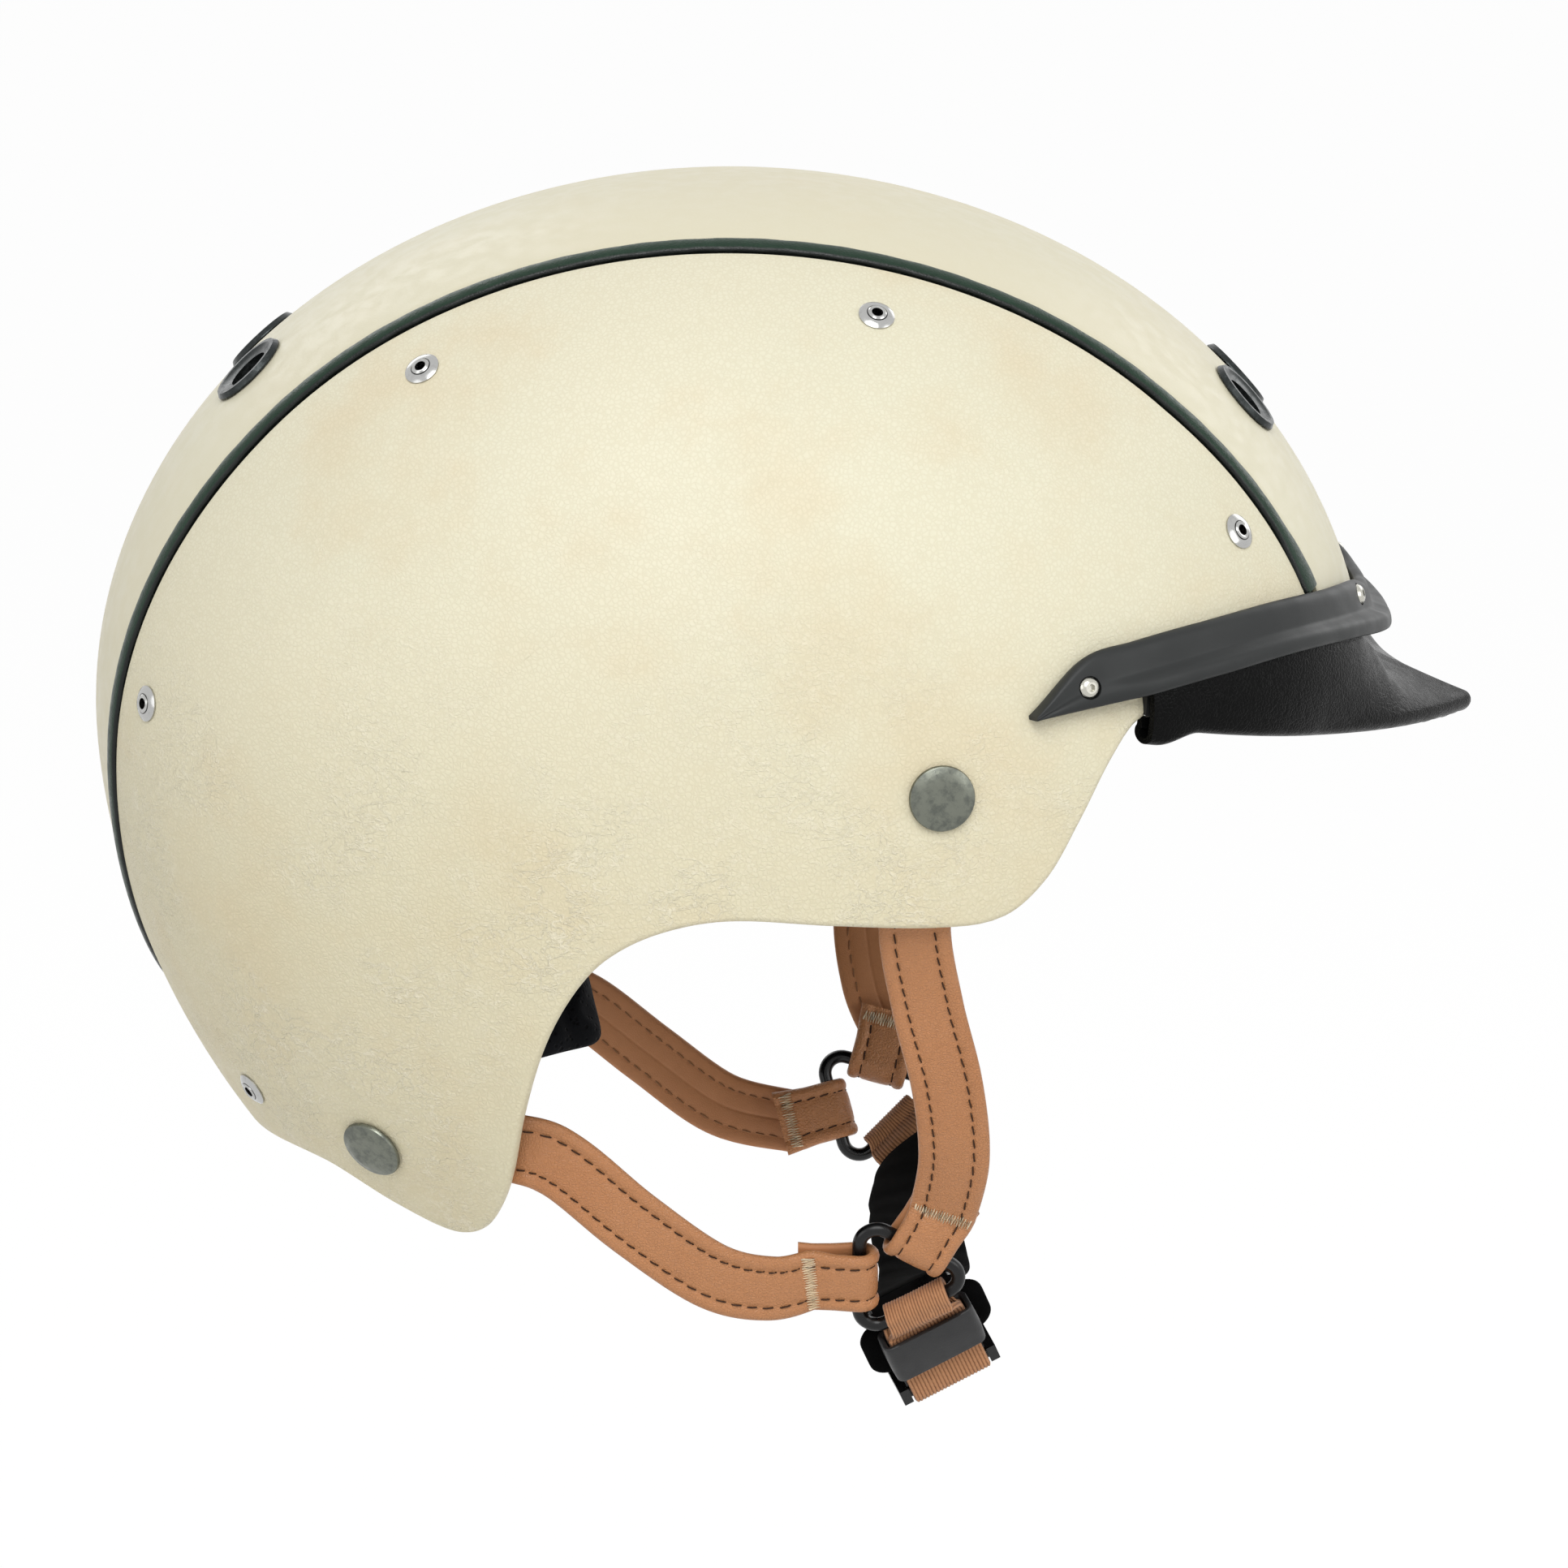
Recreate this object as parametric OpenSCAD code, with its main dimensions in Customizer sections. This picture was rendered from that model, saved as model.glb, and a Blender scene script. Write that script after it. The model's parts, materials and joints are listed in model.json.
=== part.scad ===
// Urban bicycle helmet: a leather-covered hard shell over a foam liner, with a
// riding peak, a dial-driven fit ring, leather straps and a sliding magnet buckle.
// Millimetres. +X is forward, +Y the wearer's left, +Z up.
// The origin is the middle of the head space, level with the shell's longest section.

/* [Shell outline] */
// Reach of the outer surface in front of the origin
front_reach = 138.5; // [134:0.5:144]
// Reach of the outer surface behind the origin
rear_reach = 138; // [134:0.5:144]
// Height of the crown above the origin
top_reach = 114.5; // [110:0.5:120]
// Depth at which the nape's curve would close below the origin
nape_reach = 150; // [146:1:158]
// Half of the width across the sides
half_width = 107; // [104:0.5:112]
// Fullness of the sides, where 2 is an ellipse
fullness = 2.3; // [2.2:0.05:2.4]
// Fullness of the nape, where 2 is an ellipse
nape_fullness = 1.85; // [1.8:0.05:1.95]

/* [Layers] */
// Thickness of the leather covers
cover_t = 1.1; // [0.9:0.1:1.3]
// Gap for glue between a cover and the hard shell
cover_gap = 0.7; // [0.65:0.05:0.8]
// Wall of the hard shell
shell_t = 1.7; // [1.5:0.1:2.1]
// Gap between the hard shell and the foam liner
liner_gap = 0.9; // [0.8:0.05:1.1]
// Foam thickness at the brow and at the back
foam_end_t = 28.7; // [26:0.5:31]
// Foam thickness at the crown
foam_top_t = 22.7; // [20:0.5:26]
// Foam thickness at the sides
foam_side_t = 19.7; // [18:0.5:21]
// Height by which the liner's lower edge stays above the shell's rim
liner_lift = 2.5; // [2:0.5:4]
// Height of the liner's recess above the nape rim, which leaves room for the dial
nape_recess = 41; // [38:1:44]
// Turn by which the liner's inside edge lies behind its outside edge at the lobes
lobe_set_back = 12; // [8:1:14]

/* [Crown band and piping] */
// Width of the crown band between the piping centrelines
crown_w = 103; // [96:1:110]
// Angle behind the brow at which the crown band starts to round off
crown_turn = 145; // [140:1:150]
// Angle at which the rounded end of the crown band closes
crown_end = 207; // [203:1:209]
// Narrowing of each side of the crown band at the brow
brow_narrowing = 5.3; // [4:0.1:6]
// Width of the piping
piping_w = 4.6; // [4:0.1:5.2]
// Height of the piping above the covers
piping_rise = 1; // [0.6:0.1:1.4]
// Gap between the piping and each cover
piping_gap = 0.4; // [0.25:0.05:0.4]

/* [Vents and eyelets] */
// Outer diameter of a vent grommet
grommet_d = 17.7; // [16:0.1:19]
// Open diameter of a vent grommet
vent_d = 9.6; // [8:0.1:10.4]
// Outer diameter of a grommet's tube
grommet_tube_d = 12.2; // [11.6:0.1:13]
// Height of a grommet's ring
grommet_h = 1.3; // [1:0.1:1.8]
// Sideways distance of the rear vents from the middle
rear_vent_y = 23; // [20:0.5:26]
// Sideways distance of the front vents from the middle
front_vent_y = 18; // [15:0.5:21]
// Diameter of an eyelet washer
eyelet_d = 7.6; // [7:0.1:8.2]
// Bore of an eyelet rivet
eyelet_bore = 2.4; // [2:0.1:2.6]
// Outer diameter of an eyelet rivet's tube
eyelet_tube_d = 3.4; // [3.2:0.1:3.8]

/* [Strap anchors] */
// Diameter of a snap cap
cap_d = 13.8; // [12.6:0.1:14.6]
// Height of a snap cap
cap_h = 2.3; // [2:0.1:2.8]
// Diameter of an anchor post
post_d = 5; // [4.4:0.1:5.6]
// Diameter of the washer behind a strap end
back_washer_d = 12; // [11:0.5:13]
// Thickness of the washer behind a strap end
back_washer_t = 1; // [0.8:0.1:1]
// Depth of a strap's mid-surface below the outer surface
strap_depth = 6.6; // [6.4:0.1:7]
// Forward place of the front anchors
front_anchor_x = 44; // [40:1:48]
// Height of the front anchors
front_anchor_z = -2.9; // [-6:0.5:0]
// Forward place of the rear anchors
rear_anchor_x = -75; // [-77:1:-73]
// Height of the rear anchors
rear_anchor_z = -84.4; // [-86:0.5:-82]

/* [Peak and holder] */
// Reach of the peak in front of the shell, in the middle
peak_reach = 23.5; // [20:0.5:27]
// Half angle that the peak spans
peak_span = 46; // [44:1:47]
// Radius of the peak's rolled edge
peak_roll = 2.3; // [2:0.1:2.6]
// Thickness of the peak's leathers
peak_leather_t = 1.2; // [1:0.1:1.3]
// Thickness of the peak's board
peak_board_t = 1.2; // [1:0.1:1.3]
// How far the holder stands proud of the shell
holder_t = 3.6; // [3.2:0.1:4]
// How far the holder's lower lip stands proud in front
holder_lip = 4.9; // [4.5:0.1:5.3]
// Diameter of a holder screw's head
screw_head_d = 4.4; // [4:0.1:4.8]
// Diameter of a holder screw's shank
screw_d = 2.5; // [2:0.1:2.8]
// Size of the hex socket in a holder screw
hex_af = 1.5; // [1.3:0.1:2]
// Diameter of a holder screw's nut
nut_d = 5.4; // [5:0.1:6]

/* [Straps and rings] */
// Width of a leather strap
strap_w = 15; // [13:0.5:15.5]
// Width of a leather strap where it is drawn in at its ring
strap_ring_w = 12; // [11:0.5:12.5]
// Thickness of a leather strap
strap_t = 2.4; // [2:0.1:2.6]
// Wire diameter of a strap ring
ring_wire_d = 3; // [2.6:0.1:3.2]
// Distance from a ring's centre to the middle of each side
ring_in_r = 8.3; // [8.2:0.1:9]
// Corner radius of a ring, to the middle of the wire
ring_corner_r = 3.8; // [3.6:0.1:4]
// Length of a strap's folded end above its ring
fold_l = 13; // [12:0.5:15]
// Width of the chin webbing
webbing_w = 18; // [16:0.5:18.5]
// Width of the chin webbing where it is gathered at its ring
webbing_ring_w = 14.5; // [13:0.5:15]
// Thickness of the chin webbing
webbing_t = 1.5; // [1.3:0.1:1.7]
// Width of the chin sleeve
sleeve_w = 20; // [18:0.5:22]
// Thickness of the chin sleeve
sleeve_t = 4; // [3:0.1:5]

/* [Buckle and keeper] */
// Width of the buckle body
buckle_w = 23; // [22:0.5:25]
// Length of the buckle body
buckle_l = 22; // [21:0.5:24]
// Thickness of the buckle body
buckle_t = 4; // [3.6:0.1:4.6]
// Thickness of the buckle tongue
tongue_t = 3.6; // [3.2:0.1:4.2]
// Diameter of a buckle magnet
magnet_d = 7; // [6:0.1:8]
// Thickness of a buckle magnet
magnet_t = 1.8; // [1.5:0.1:2]
// Clearance between sliding buckle faces
buckle_gap = 0.35; // [0.3:0.05:0.45]
// Length of the keeper along the webbing
keeper_l = 11; // [9:0.5:11.5]
// Wall of the keeper
keeper_wall = 1.3; // [1:0.1:1.5]
// Clearance of the keeper round the webbing
keeper_gap = 0.4; // [0.3:0.05:0.6]
// Width of the velour pad between the keeper and the buckle
chin_pad_w = 29; // [26:0.5:30]
// Thickness of that pad
chin_pad_t = 1.6; // [1.2:0.1:2]

/* [Fit ring and dial] */
// Distance of the right arm's inside from the liner's side
arm_inset = 9.4; // [8.4:0.2:11.4]
// How far an arm peg's outer end stays short of the liner's side
peg_short = 0.9; // [0.5:0.1:1.5]
// Thickness of an arm
arm_t = 1.4; // [1.2:0.1:1.5]
// Gap between sliding faces of the fit ring
arm_gap = 0.4; // [0.35:0.05:0.45]
// Height of an arm
arm_h = 19; // [18:0.5:20]
// Module of the pinion and the racks
tooth_module = 1; // [0.9:0.05:1.05]
// Turn of each arm about the ring's axis from widest to tightest, in degrees
arm_travel = 15; // [10:1:16]
// How far ahead of the liner's rearmost point the fit ring's back lies
fit_ahead = 24.3; // [23.5:0.1:25.5]
// Drop of the fit ring's middle below the origin
fit_drop = 28; // [26:0.5:30]
// Tilt of the fit ring's plane, lower at the back
fit_tilt = 30; // [28:1:32]
// Diameter of the dial
dial_d = 28; // [25:0.5:30]
// Thickness of the dial
dial_t = 9; // [8:0.5:10]
// Diameter of the dial's shaft
shaft_d = 5; // [4.4:0.1:5.6]
// Running clearance round the shaft, on the radius
shaft_clear = 0.06; // [0.03:0.01:0.1]
// Diameter of an arm peg
peg_d = 4; // [3.6:0.1:4.4]

/* [Pads] */
// Thickness of a comfort pad
pad_t = 6; // [4:0.5:8]
// Depth of the hook fastener between a pad and the liner
pad_gap = 0.85; // [0.75:0.05:0.95]

/* [Hidden] */
$fn = 48;
right = -1;
left = 1;
both = [right, left];

// Depths of the layers below the outer surface
shell_out = cover_t + cover_gap;
shell_in = shell_out + shell_t;
liner_out = shell_in + liner_gap;
// Depths at the front, back, top, nape and side
function even(d) = [d, d, d, d, d];
liner_depth = [
    liner_out + foam_end_t,
    liner_out + foam_end_t,
    liner_out + foam_top_t,
    liner_out + foam_side_t + 2,
    liner_out + foam_side_t
];
function deeper(d) = [for (v = liner_depth) v + d];

// Height of the shell's rim at some azimuths from the front, where 180 is the back
rim_keys = [
    [0, 17.5], [16, 17.5], [28, 15.5], [42, 14.5], [47, 11], [50, 3], [53, -9],
    [56, -20.5], [60, -28], [66, -29.8], [78, -28.8], [90, -27.6], [98, -30.6],
    [104, -36.6], [108, -44.6], [112, -57], [116, -74], [119, -87], [122, -95.5],
    [126, -101.8], [131, -103.5], [138, -98.8], [147, -91], [162, -89.5], [180, -89.5]
];
// Top and bottom edge of the holder's band at some azimuths
holder_keys = [
    [0, 26.5, 16.5], [6, 27.3, 17.1], [11, 29.7, 18.2], [20, 31, 20.2],
    [30, 31.4, 20.7], [40, 29.6, 18.6], [47, 27.4, 16.3], [52.5, 24.6, 14.2],
    [58, 13.6, 12.6]
];
// Offset from the shell and height of the peak's inner edge at some azimuths
peak_root_out = 0.45 + peak_leather_t + 0.4 + peak_board_t;
peak_root_keys = [
    [0, -3, 12.8], [6, -2.6, 13], [10, peak_root_out, 13.6], [14, peak_root_out, 18.4],
    [18, peak_root_out, 22.6], [30, peak_root_out, 24], [40, peak_root_out, 21.8],
    [50, peak_root_out, 18]
];
shell_azimuths = [
    0, 9, 18, 27, 34, 40, 44, 47, 50, 53, 56, 60, 66, 73, 80, 87, 93, 98, 102, 105,
    108, 111, 114, 117.5, 121, 124, 127, 130.5, 134.5, 140, 147, 155, 163.5, 172, 180
];

// Vectors and curves

function unit(v) = v / norm(v);
function mix(a, b, t) = a + (b - a) * t;
function square_to(v, axis) = unit(v - (v * axis) * axis);
function soft_step(t) = let (s = min(1, max(0, t))) s * s * (3 - 2 * s);
function reversed(list) = [for (i = [len(list) - 1:-1:0]) list[i]];
function mirrored(p, side) = [p[0], side * p[1], p[2]];
function span_of(keys, x, i = 0) =
    (i >= len(keys) - 2 || x < keys[i + 1][0]) ? i : span_of(keys, x, i + 1);
function slope_at(keys, i, c) =
    let (a = max(i - 1, 0), b = min(i + 1, len(keys) - 1))
    (keys[b][c] - keys[a][c]) / (keys[b][0] - keys[a][0]);
// Smooth curve through keys, where column 0 is the place and column c the value
function curve(keys, x, c = 1) =
    let (
        i = span_of(keys, x),
        h = keys[i + 1][0] - keys[i][0],
        t = (x - keys[i][0]) / h,
        m0 = slope_at(keys, i, c) * h,
        m1 = slope_at(keys, i + 1, c) * h
    )
    keys[i][c] * (2 * t^3 - 3 * t^2 + 1) + m0 * (t^3 - 2 * t^2 + t)
    + keys[i + 1][c] * (3 * t^2 - 2 * t^3) + m1 * (t^3 - t^2);
// Smooth path through points, with steps pieces between each two
function spline(pts, steps) =
    let (last = len(pts) - 1)
    [
        for (i = [0:last - 1], k = [0:steps - 1])
        let (
            t = k / steps,
            a = pts[max(i - 1, 0)],
            b = pts[i],
            c = pts[i + 1],
            d = pts[min(i + 2, last)]
        )
        b + (c - a) / 2 * t + (2 * a - 5 * b + 4 * c - d) / 2 * t^2
        + (3 * b - a - 3 * c + d) / 2 * t^3,
        pts[last]
    ];

// The helmet's curved surface

// Reach of the side outline in the direction of x and z, below it by the depths
function outline(x, z, depth) =
    let (
        r = norm([x, z]),
        a = x > 0 ? front_reach - depth[0] : rear_reach - depth[1],
        b = z > 0 ? top_reach - depth[2] : nape_reach - depth[3],
        p = (x < 0 && z < 0) ? nape_fullness : 2
    )
    pow(pow(abs(x) / r / a, p) + pow(abs(z) / r / b, p), -1 / p);
// How far out a point lies, where 1 is on the surface
function share(v, depth) =
    let (r = norm([v[0], v[2]]))
    pow(
        pow(r / outline(v[0], v[2], depth), fullness)
        + pow(abs(v[1]) / (half_width - depth[4]), fullness),
        1 / fullness
    );
// The surface point in the direction of v
function on_surface(v, depth) = v / share(v, depth);
function direction(azimuth, polar) =
    [sin(polar) * cos(azimuth), sin(polar) * sin(azimuth), cos(polar)];
// Polar angle at which the outer surface has a height, by halving
function polar_at(azimuth, height, low = 20, high = 165, n = 24) =
    n == 0 ? (low + high) / 2 :
    let (mid = (low + high) / 2)
    on_surface(direction(azimuth, mid), even(0))[2] > height
    ? polar_at(azimuth, height, mid, high, n - 1)
    : polar_at(azimuth, height, low, mid, n - 1);
// Point at an azimuth and a height, offset outwards from the surface
function level_point(azimuth, height, offset, low = 40, high = 190, n = 22) =
    let (mid = (low + high) / 2, p = [mid * cos(azimuth), mid * sin(azimuth), height])
    n == 0 ? p :
    share(p, even(-offset)) > 1
    ? level_point(azimuth, height, offset, low, mid, n - 1)
    : level_point(azimuth, height, offset, mid, high, n - 1);
// Point on the side at a place in the side view
function side_point(x, z, depth, side) =
    let (q = norm([x, z]) / outline(x, z, depth))
    [x, side * (half_width - depth[4]) * pow(1 - pow(q, fullness), 1 / fullness), z];
// Point on the crown at an angle in the side view and a sideways distance
function crown_point(angle, y, depth) =
    let (
        q = pow(1 - pow(abs(y) / (half_width - depth[4]), fullness), 1 / fullness),
        r = q * outline(cos(angle), sin(angle), depth)
    )
    [r * cos(angle), y, r * sin(angle)];
function outward(p) =
    let (h = 0.05, e = even(0))
    unit([
        share(p + [h, 0, 0], e) - share(p - [h, 0, 0], e),
        share(p + [0, h, 0], e) - share(p - [0, h, 0], e),
        share(p + [0, 0, h], e) - share(p - [0, 0, h], e)
    ]);
function rim_height(azimuth) = curve(rim_keys, azimuth);
function rim_polar(azimuth) = polar_at(azimuth, rim_height(azimuth));
function liner_polar(azimuth) =
    polar_at(
        azimuth,
        rim_height(azimuth) + liner_lift
        + (nape_recess - liner_lift) * soft_step((azimuth - 148) / 14)
    );
function set_back(azimuth) =
    azimuth - lobe_set_back * soft_step((azimuth - 110) / 8) * soft_step((142 - azimuth) / 14);
// Half width of the crown band at an angle, widened by an offset
function crown_half(angle, offset = 0) =
    let (
        half = crown_w / 2 + offset,
        turn = (angle - crown_turn) / (crown_end + 0.43 * offset - crown_turn),
        brow = max(0, 38 - angle) / 30
    )
    angle > crown_turn ? half * pow(max(0, 1 - turn * turn), 0.6)
    : half - brow_narrowing * pow(brow, 1.3);

// Closed solids from lists of points

function ring_faces(count, a, b) = [
    for (i = [0:count - 1])
    let (j = (i + 1) % count)
    each [[a + i, b + i, b + j], [a + i, b + j, a + j]]
];
function turned(faces) = [for (f = faces) [f[2], f[1], f[0]]];
// A bowl between two sets of rings that open out from a pole, with one rim
module bowl(outer_pole, outer, inner_pole, inner) {
    count = len(outer[0]);
    rings = len(outer);
    inner_rings = len(inner);
    inner_start = 1 + rings * count;
    points = concat(
        [outer_pole], [for (r = outer) each r], [inner_pole], [for (r = inner) each r]
    );
    fan = [for (i = [0:count - 1]) [0, 1 + i, 1 + (i + 1) % count]];
    inner_fan = [for (f = fan) [f[0] + inner_start, f[2] + inner_start, f[1] + inner_start]];
    outside = [
        for (k = [0:rings - 2])
        each ring_faces(count, 1 + k * count, 1 + (k + 1) * count)
    ];
    inside = [
        for (k = [0:inner_rings - 2])
        each turned(ring_faces(
            count, inner_start + 1 + k * count, inner_start + 1 + (k + 1) * count
        ))
    ];
    rim = ring_faces(
        count, 1 + (rings - 1) * count, inner_start + 1 + (inner_rings - 1) * count
    );
    polyhedron(points, turned(concat(fan, outside, inside, inner_fan, rim)));
}
// A tube through closed rings of points, with both ends capped
module tube(rings) {
    count = len(rings[0]);
    last = (len(rings) - 1) * count;
    sides = [for (k = [0:len(rings) - 2]) each ring_faces(count, k * count, (k + 1) * count)];
    start = [for (i = [1:count - 2]) [0, i, i + 1]];
    end = [for (i = [1:count - 2]) [last, last + i + 1, last + i]];
    polyhedron([for (r = rings) each r], concat(sides, start, end));
}
// A closed hoop through rings of points
module hoop(rings) {
    count = len(rings[0]);
    last = len(rings);
    polyhedron(
        [for (r = rings) each r],
        [for (k = [0:last - 1]) each ring_faces(count, k * count, ((k + 1) % last) * count)]
    );
}
// A sheet between two grids of the same size
module sheet(top, bottom) {
    rows = len(top);
    cols = len(top[0]);
    size = rows * cols;
    cells = [
        for (i = [0:rows - 2], j = [0:cols - 2])
        let (a = i * cols + j, b = a + 1, c = a + cols + 1, d = a + cols)
        each [[a, b, c], [a, c, d]]
    ];
    edge = concat(
        [for (j = [0:cols - 1]) j],
        [for (i = [1:rows - 1]) i * cols + cols - 1],
        [for (j = [cols - 2:-1:0]) (rows - 1) * cols + j],
        [for (i = [rows - 2:-1:1]) i * cols]
    );
    wall = [
        for (k = [0:len(edge) - 1])
        let (a = edge[k], b = edge[(k + 1) % len(edge)])
        each [[a, a + size, b + size], [a, b + size, b]]
    ];
    under = [for (f = cells) [f[2] + size, f[1] + size, f[0] + size]];
    polyhedron(concat([for (r = top) each r], [for (r = bottom) each r]),
        concat(cells, under, wall));
}
// Rings of a flat strap along rows of a point, a width direction and a width
function strap_rings(path, t, closed = false) =
    let (last = len(path) - 1, edge = min(0.9, t / 3))
    [
        for (k = [0:last])
        let (
            here = path[k][0],
            ahead = closed ? path[(k + 1) % (last + 1)][0] : path[min(k + 1, last)][0],
            behind = closed ? path[(k + last) % (last + 1)][0] : path[max(k - 1, 0)][0],
            along = unit(ahead - behind),
            half = path[k][2] / 2,
            wide = square_to(path[k][1], along),
            thick = cross(along, wide)
        )
        [
            here + half * wide,
            here + (half - edge) * wide + t / 2 * thick,
            here - (half - edge) * wide + t / 2 * thick,
            here - half * wide,
            here - (half - edge) * wide - t / 2 * thick,
            here + (half - edge) * wide - t / 2 * thick
        ]
    ];
// Puts a child's z axis along the outward direction at a surface point
module at_surface(p, depth = 0) {
    n = outward(p);
    translate(p - depth * n)
    rotate([0, acos(n[2]), atan2(n[1], n[0])])
    children();
}
// Puts a child at a place, with its x and z axes along two directions
module in_frame(place, x_dir, z_dir) {
    y_dir = cross(z_dir, x_dir);
    multmatrix([
        [x_dir[0], y_dir[0], z_dir[0], place[0]],
        [x_dir[1], y_dir[1], z_dir[1], place[1]],
        [x_dir[2], y_dir[2], z_dir[2], place[2]],
        [0, 0, 0, 1]
    ])
    children();
}
module hole(d, from, to) {
    translate([0, 0, from])
    cylinder(d = d, h = to - from);
}

// Places of the hardware, and how much wider its holes are

hole_gap = 0.2;
post_hole_gap = 0.3;
tube_hole_gap = 0.4;
clinch_gap = 0.9;
rear_vents = [for (s = both) crown_point(144, s * rear_vent_y, even(0))];
front_vents = [for (s = both) crown_point(31.5, s * front_vent_y, even(0))];
eyelet_places = [
    for (s = both, q = [[-63.4, 80.5], [30.9, 91.8], [106.9, 45.6], [-122.6, 8.2], [-102, -77]])
    side_point(q[0], q[1], even(0), s)
];
function front_anchor(side) = side_point(front_anchor_x, front_anchor_z, even(0), side);
function rear_anchor(side) = side_point(rear_anchor_x, rear_anchor_z, even(0), side);
anchor_places = [for (s = both) each [front_anchor(s), rear_anchor(s)]];
screw_places = [
    for (s = both) each [level_point(s * 52.1, 18.4, 0), level_point(s * 12.2, 26.1, 0)]
];

// Shell, liner and covers

function shell_ring(t, depth, polars) = [
    for (i = [0:len(around) - 1])
    on_surface(direction(around[i], t * polars[i]), depth)
];
around = concat(
    shell_azimuths,
    [for (i = [len(shell_azimuths) - 2:-1:1]) 360 - shell_azimuths[i]]
);
function both_sides(list) = concat(list, [for (i = [len(list) - 2:-1:1]) list[i]]);
module dome(outer_depth, inner_depth, polars, inner_polars, outer_rows, inner_rows) {
    bowl(
        on_surface([0, 0, 1], outer_depth),
        [for (k = [1:outer_rows]) shell_ring(k / outer_rows, outer_depth, polars)],
        on_surface([0, 0, 1], inner_depth),
        [for (k = [1:inner_rows]) shell_ring(k / inner_rows, inner_depth, inner_polars)]
    );
}
module hard_shell() {
    rim = both_sides([for (a = shell_azimuths) rim_polar(a)]);
    color("gray")
    difference() {
        dome(even(shell_out), even(shell_in), rim, rim, 12, 11);
        for (p = concat(rear_vents, front_vents))
            at_surface(p) hole(grommet_tube_d + tube_hole_gap, -12, 5);
        for (p = eyelet_places) at_surface(p) hole(eyelet_tube_d + post_hole_gap, -10, 5);
        for (p = anchor_places) at_surface(p) hole(post_d + post_hole_gap, -6, 5);
        for (p = screw_places) at_surface(p) hole(screw_d + hole_gap, -6, 5);
    }
}
module foam_liner() {
    outside_edge = both_sides([for (a = shell_azimuths) liner_polar(a)]);
    inside_edge = both_sides([for (a = shell_azimuths) liner_polar(set_back(a))]);
    color("whitesmoke")
    difference() {
        dome(even(liner_out), liner_depth, outside_edge, inside_edge, 8, 12);
        for (p = concat(rear_vents, front_vents)) at_surface(p) hole(grommet_tube_d + 0.6, -45, 0);
        for (p = eyelet_places) at_surface(p) hole(eyelet_d, -45, 0);
        for (p = anchor_places) at_surface(p) hole(back_washer_d + 1, -strap_depth - 4, 0);
        for (p = screw_places) at_surface(p) hole(nut_d + 0.6, -12, 0);
        // Room for the straps, the cradle, the dial and the arms' travel
        for (s = both) {
            strap_pocket(front_strap_path(s));
            strap_pocket(rear_strap_path(s));
        }
        in_fit() {
            arc_wall(arm_r - 6, cover_r + 4, -cradle_half_h - 1, cradle_half_h + 1,
                -cradle_half - 2, cradle_half + 2);
            on_arc(0, arm_r) cylinder(d = dial_d + 4, h = 40);
            arc_wall(arm_r - arm_gap, arms_out_r + arm_gap, -arm_h / 2 - arm_gap,
                arm_h / 2 + arm_gap, -arm_end - arm_gap, arm_end + arm_gap);
            for (s = both) arm_peg_place(s) hole(peg_d + 0.1, -20, peg_reach + 0.3);
        }
    }
}
// Slot in the liner along the first stretch of a strap
module strap_pocket(path) {
    start = path[0][0] + 1.5 * unit(path[0][0] - path[1][0]);
    wider = strap_w + 2;
    tube(strap_rings(
        concat(
            [[start, path[0][1], wider]],
            [for (k = [1:8]) [path[k][0], path[k][1], wider]]
        ),
        strap_t + 3.5
    ));
}

// Angles of the crown band's cross rows
function inside(p) = p - cover_t * outward(p);
crown_angles = concat(
    [8, 14.8, 21, 28, 36, 44.5], [for (a = [53.5:9:143.5]) a],
    [149, 156, 162, 168, 174, 180, 185, 190, 194.5, 198.5, 202, 204.8, crown_end - 0.3]
);
module crown_cover() {
    edge = -piping_w / 2 - piping_gap;
    cols = 8;
    function row(angle) = [
        for (j = [0:cols])
        crown_point(angle, (1 - 2 * j / cols) * max(0.4, crown_half(angle, edge)), even(0))
    ];
    rows = [for (a = crown_angles) if (a < crown_end - 2) a];
    color("beige")
    difference() {
        sheet([for (a = rows) row(a)], [for (a = rows) [for (p = row(a)) inside(p)]]);
        for (p = concat(rear_vents, front_vents))
            at_surface(p) hole(grommet_tube_d + tube_hole_gap, -6, 5);
        for (p = screw_places) at_surface(p) hole(screw_d + hole_gap, -6, 5);
    }
}
// Outline of a side cover: along the rim, up the rear seam and along the crown band
function side_edge(side) = concat(
    [
        for (a = shell_azimuths) if (a > 22 && a < 179)
        direction(side * a, rim_polar(a) - 0.2)
    ],
    [for (a = [219.5, 215.5, 212]) unit(crown_point(a, side * 0.25, even(0)))],
    [
        for (a = reversed(crown_angles))
        unit(crown_point(a, side * max(0.25, crown_half(a, piping_w / 2 + piping_gap)), even(0)))
    ]
);
module side_cover(side) {
    edge = side > 0 ? side_edge(side) : reversed(side_edge(side));
    middle = unit(side_point(-30, 35, even(0), side));
    rings = 10;
    outside = [
        for (k = [1:rings]) [for (e = edge) on_surface(mix(middle, e, k / rings), even(0))]
    ];
    top = on_surface(middle, even(0));
    difference() {
        bowl(top, outside, inside(top), [for (r = outside) [for (p = r) inside(p)]]);
        for (p = eyelet_places)
            if (p[1] * side > 0) at_surface(p) hole(eyelet_tube_d + post_hole_gap, -6, 5);
        for (p = anchor_places)
            if (p[1] * side > 0) at_surface(p) hole(post_d + post_hole_gap, -6, 5);
        for (p = screw_places)
            if (p[1] * side > 0) at_surface(p) hole(screw_d + hole_gap, -6, 5);
    }
}
module side_cover_right() { color("cornsilk") side_cover(right); }
module side_cover_left() { color("cornsilk") side_cover(left); }
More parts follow.
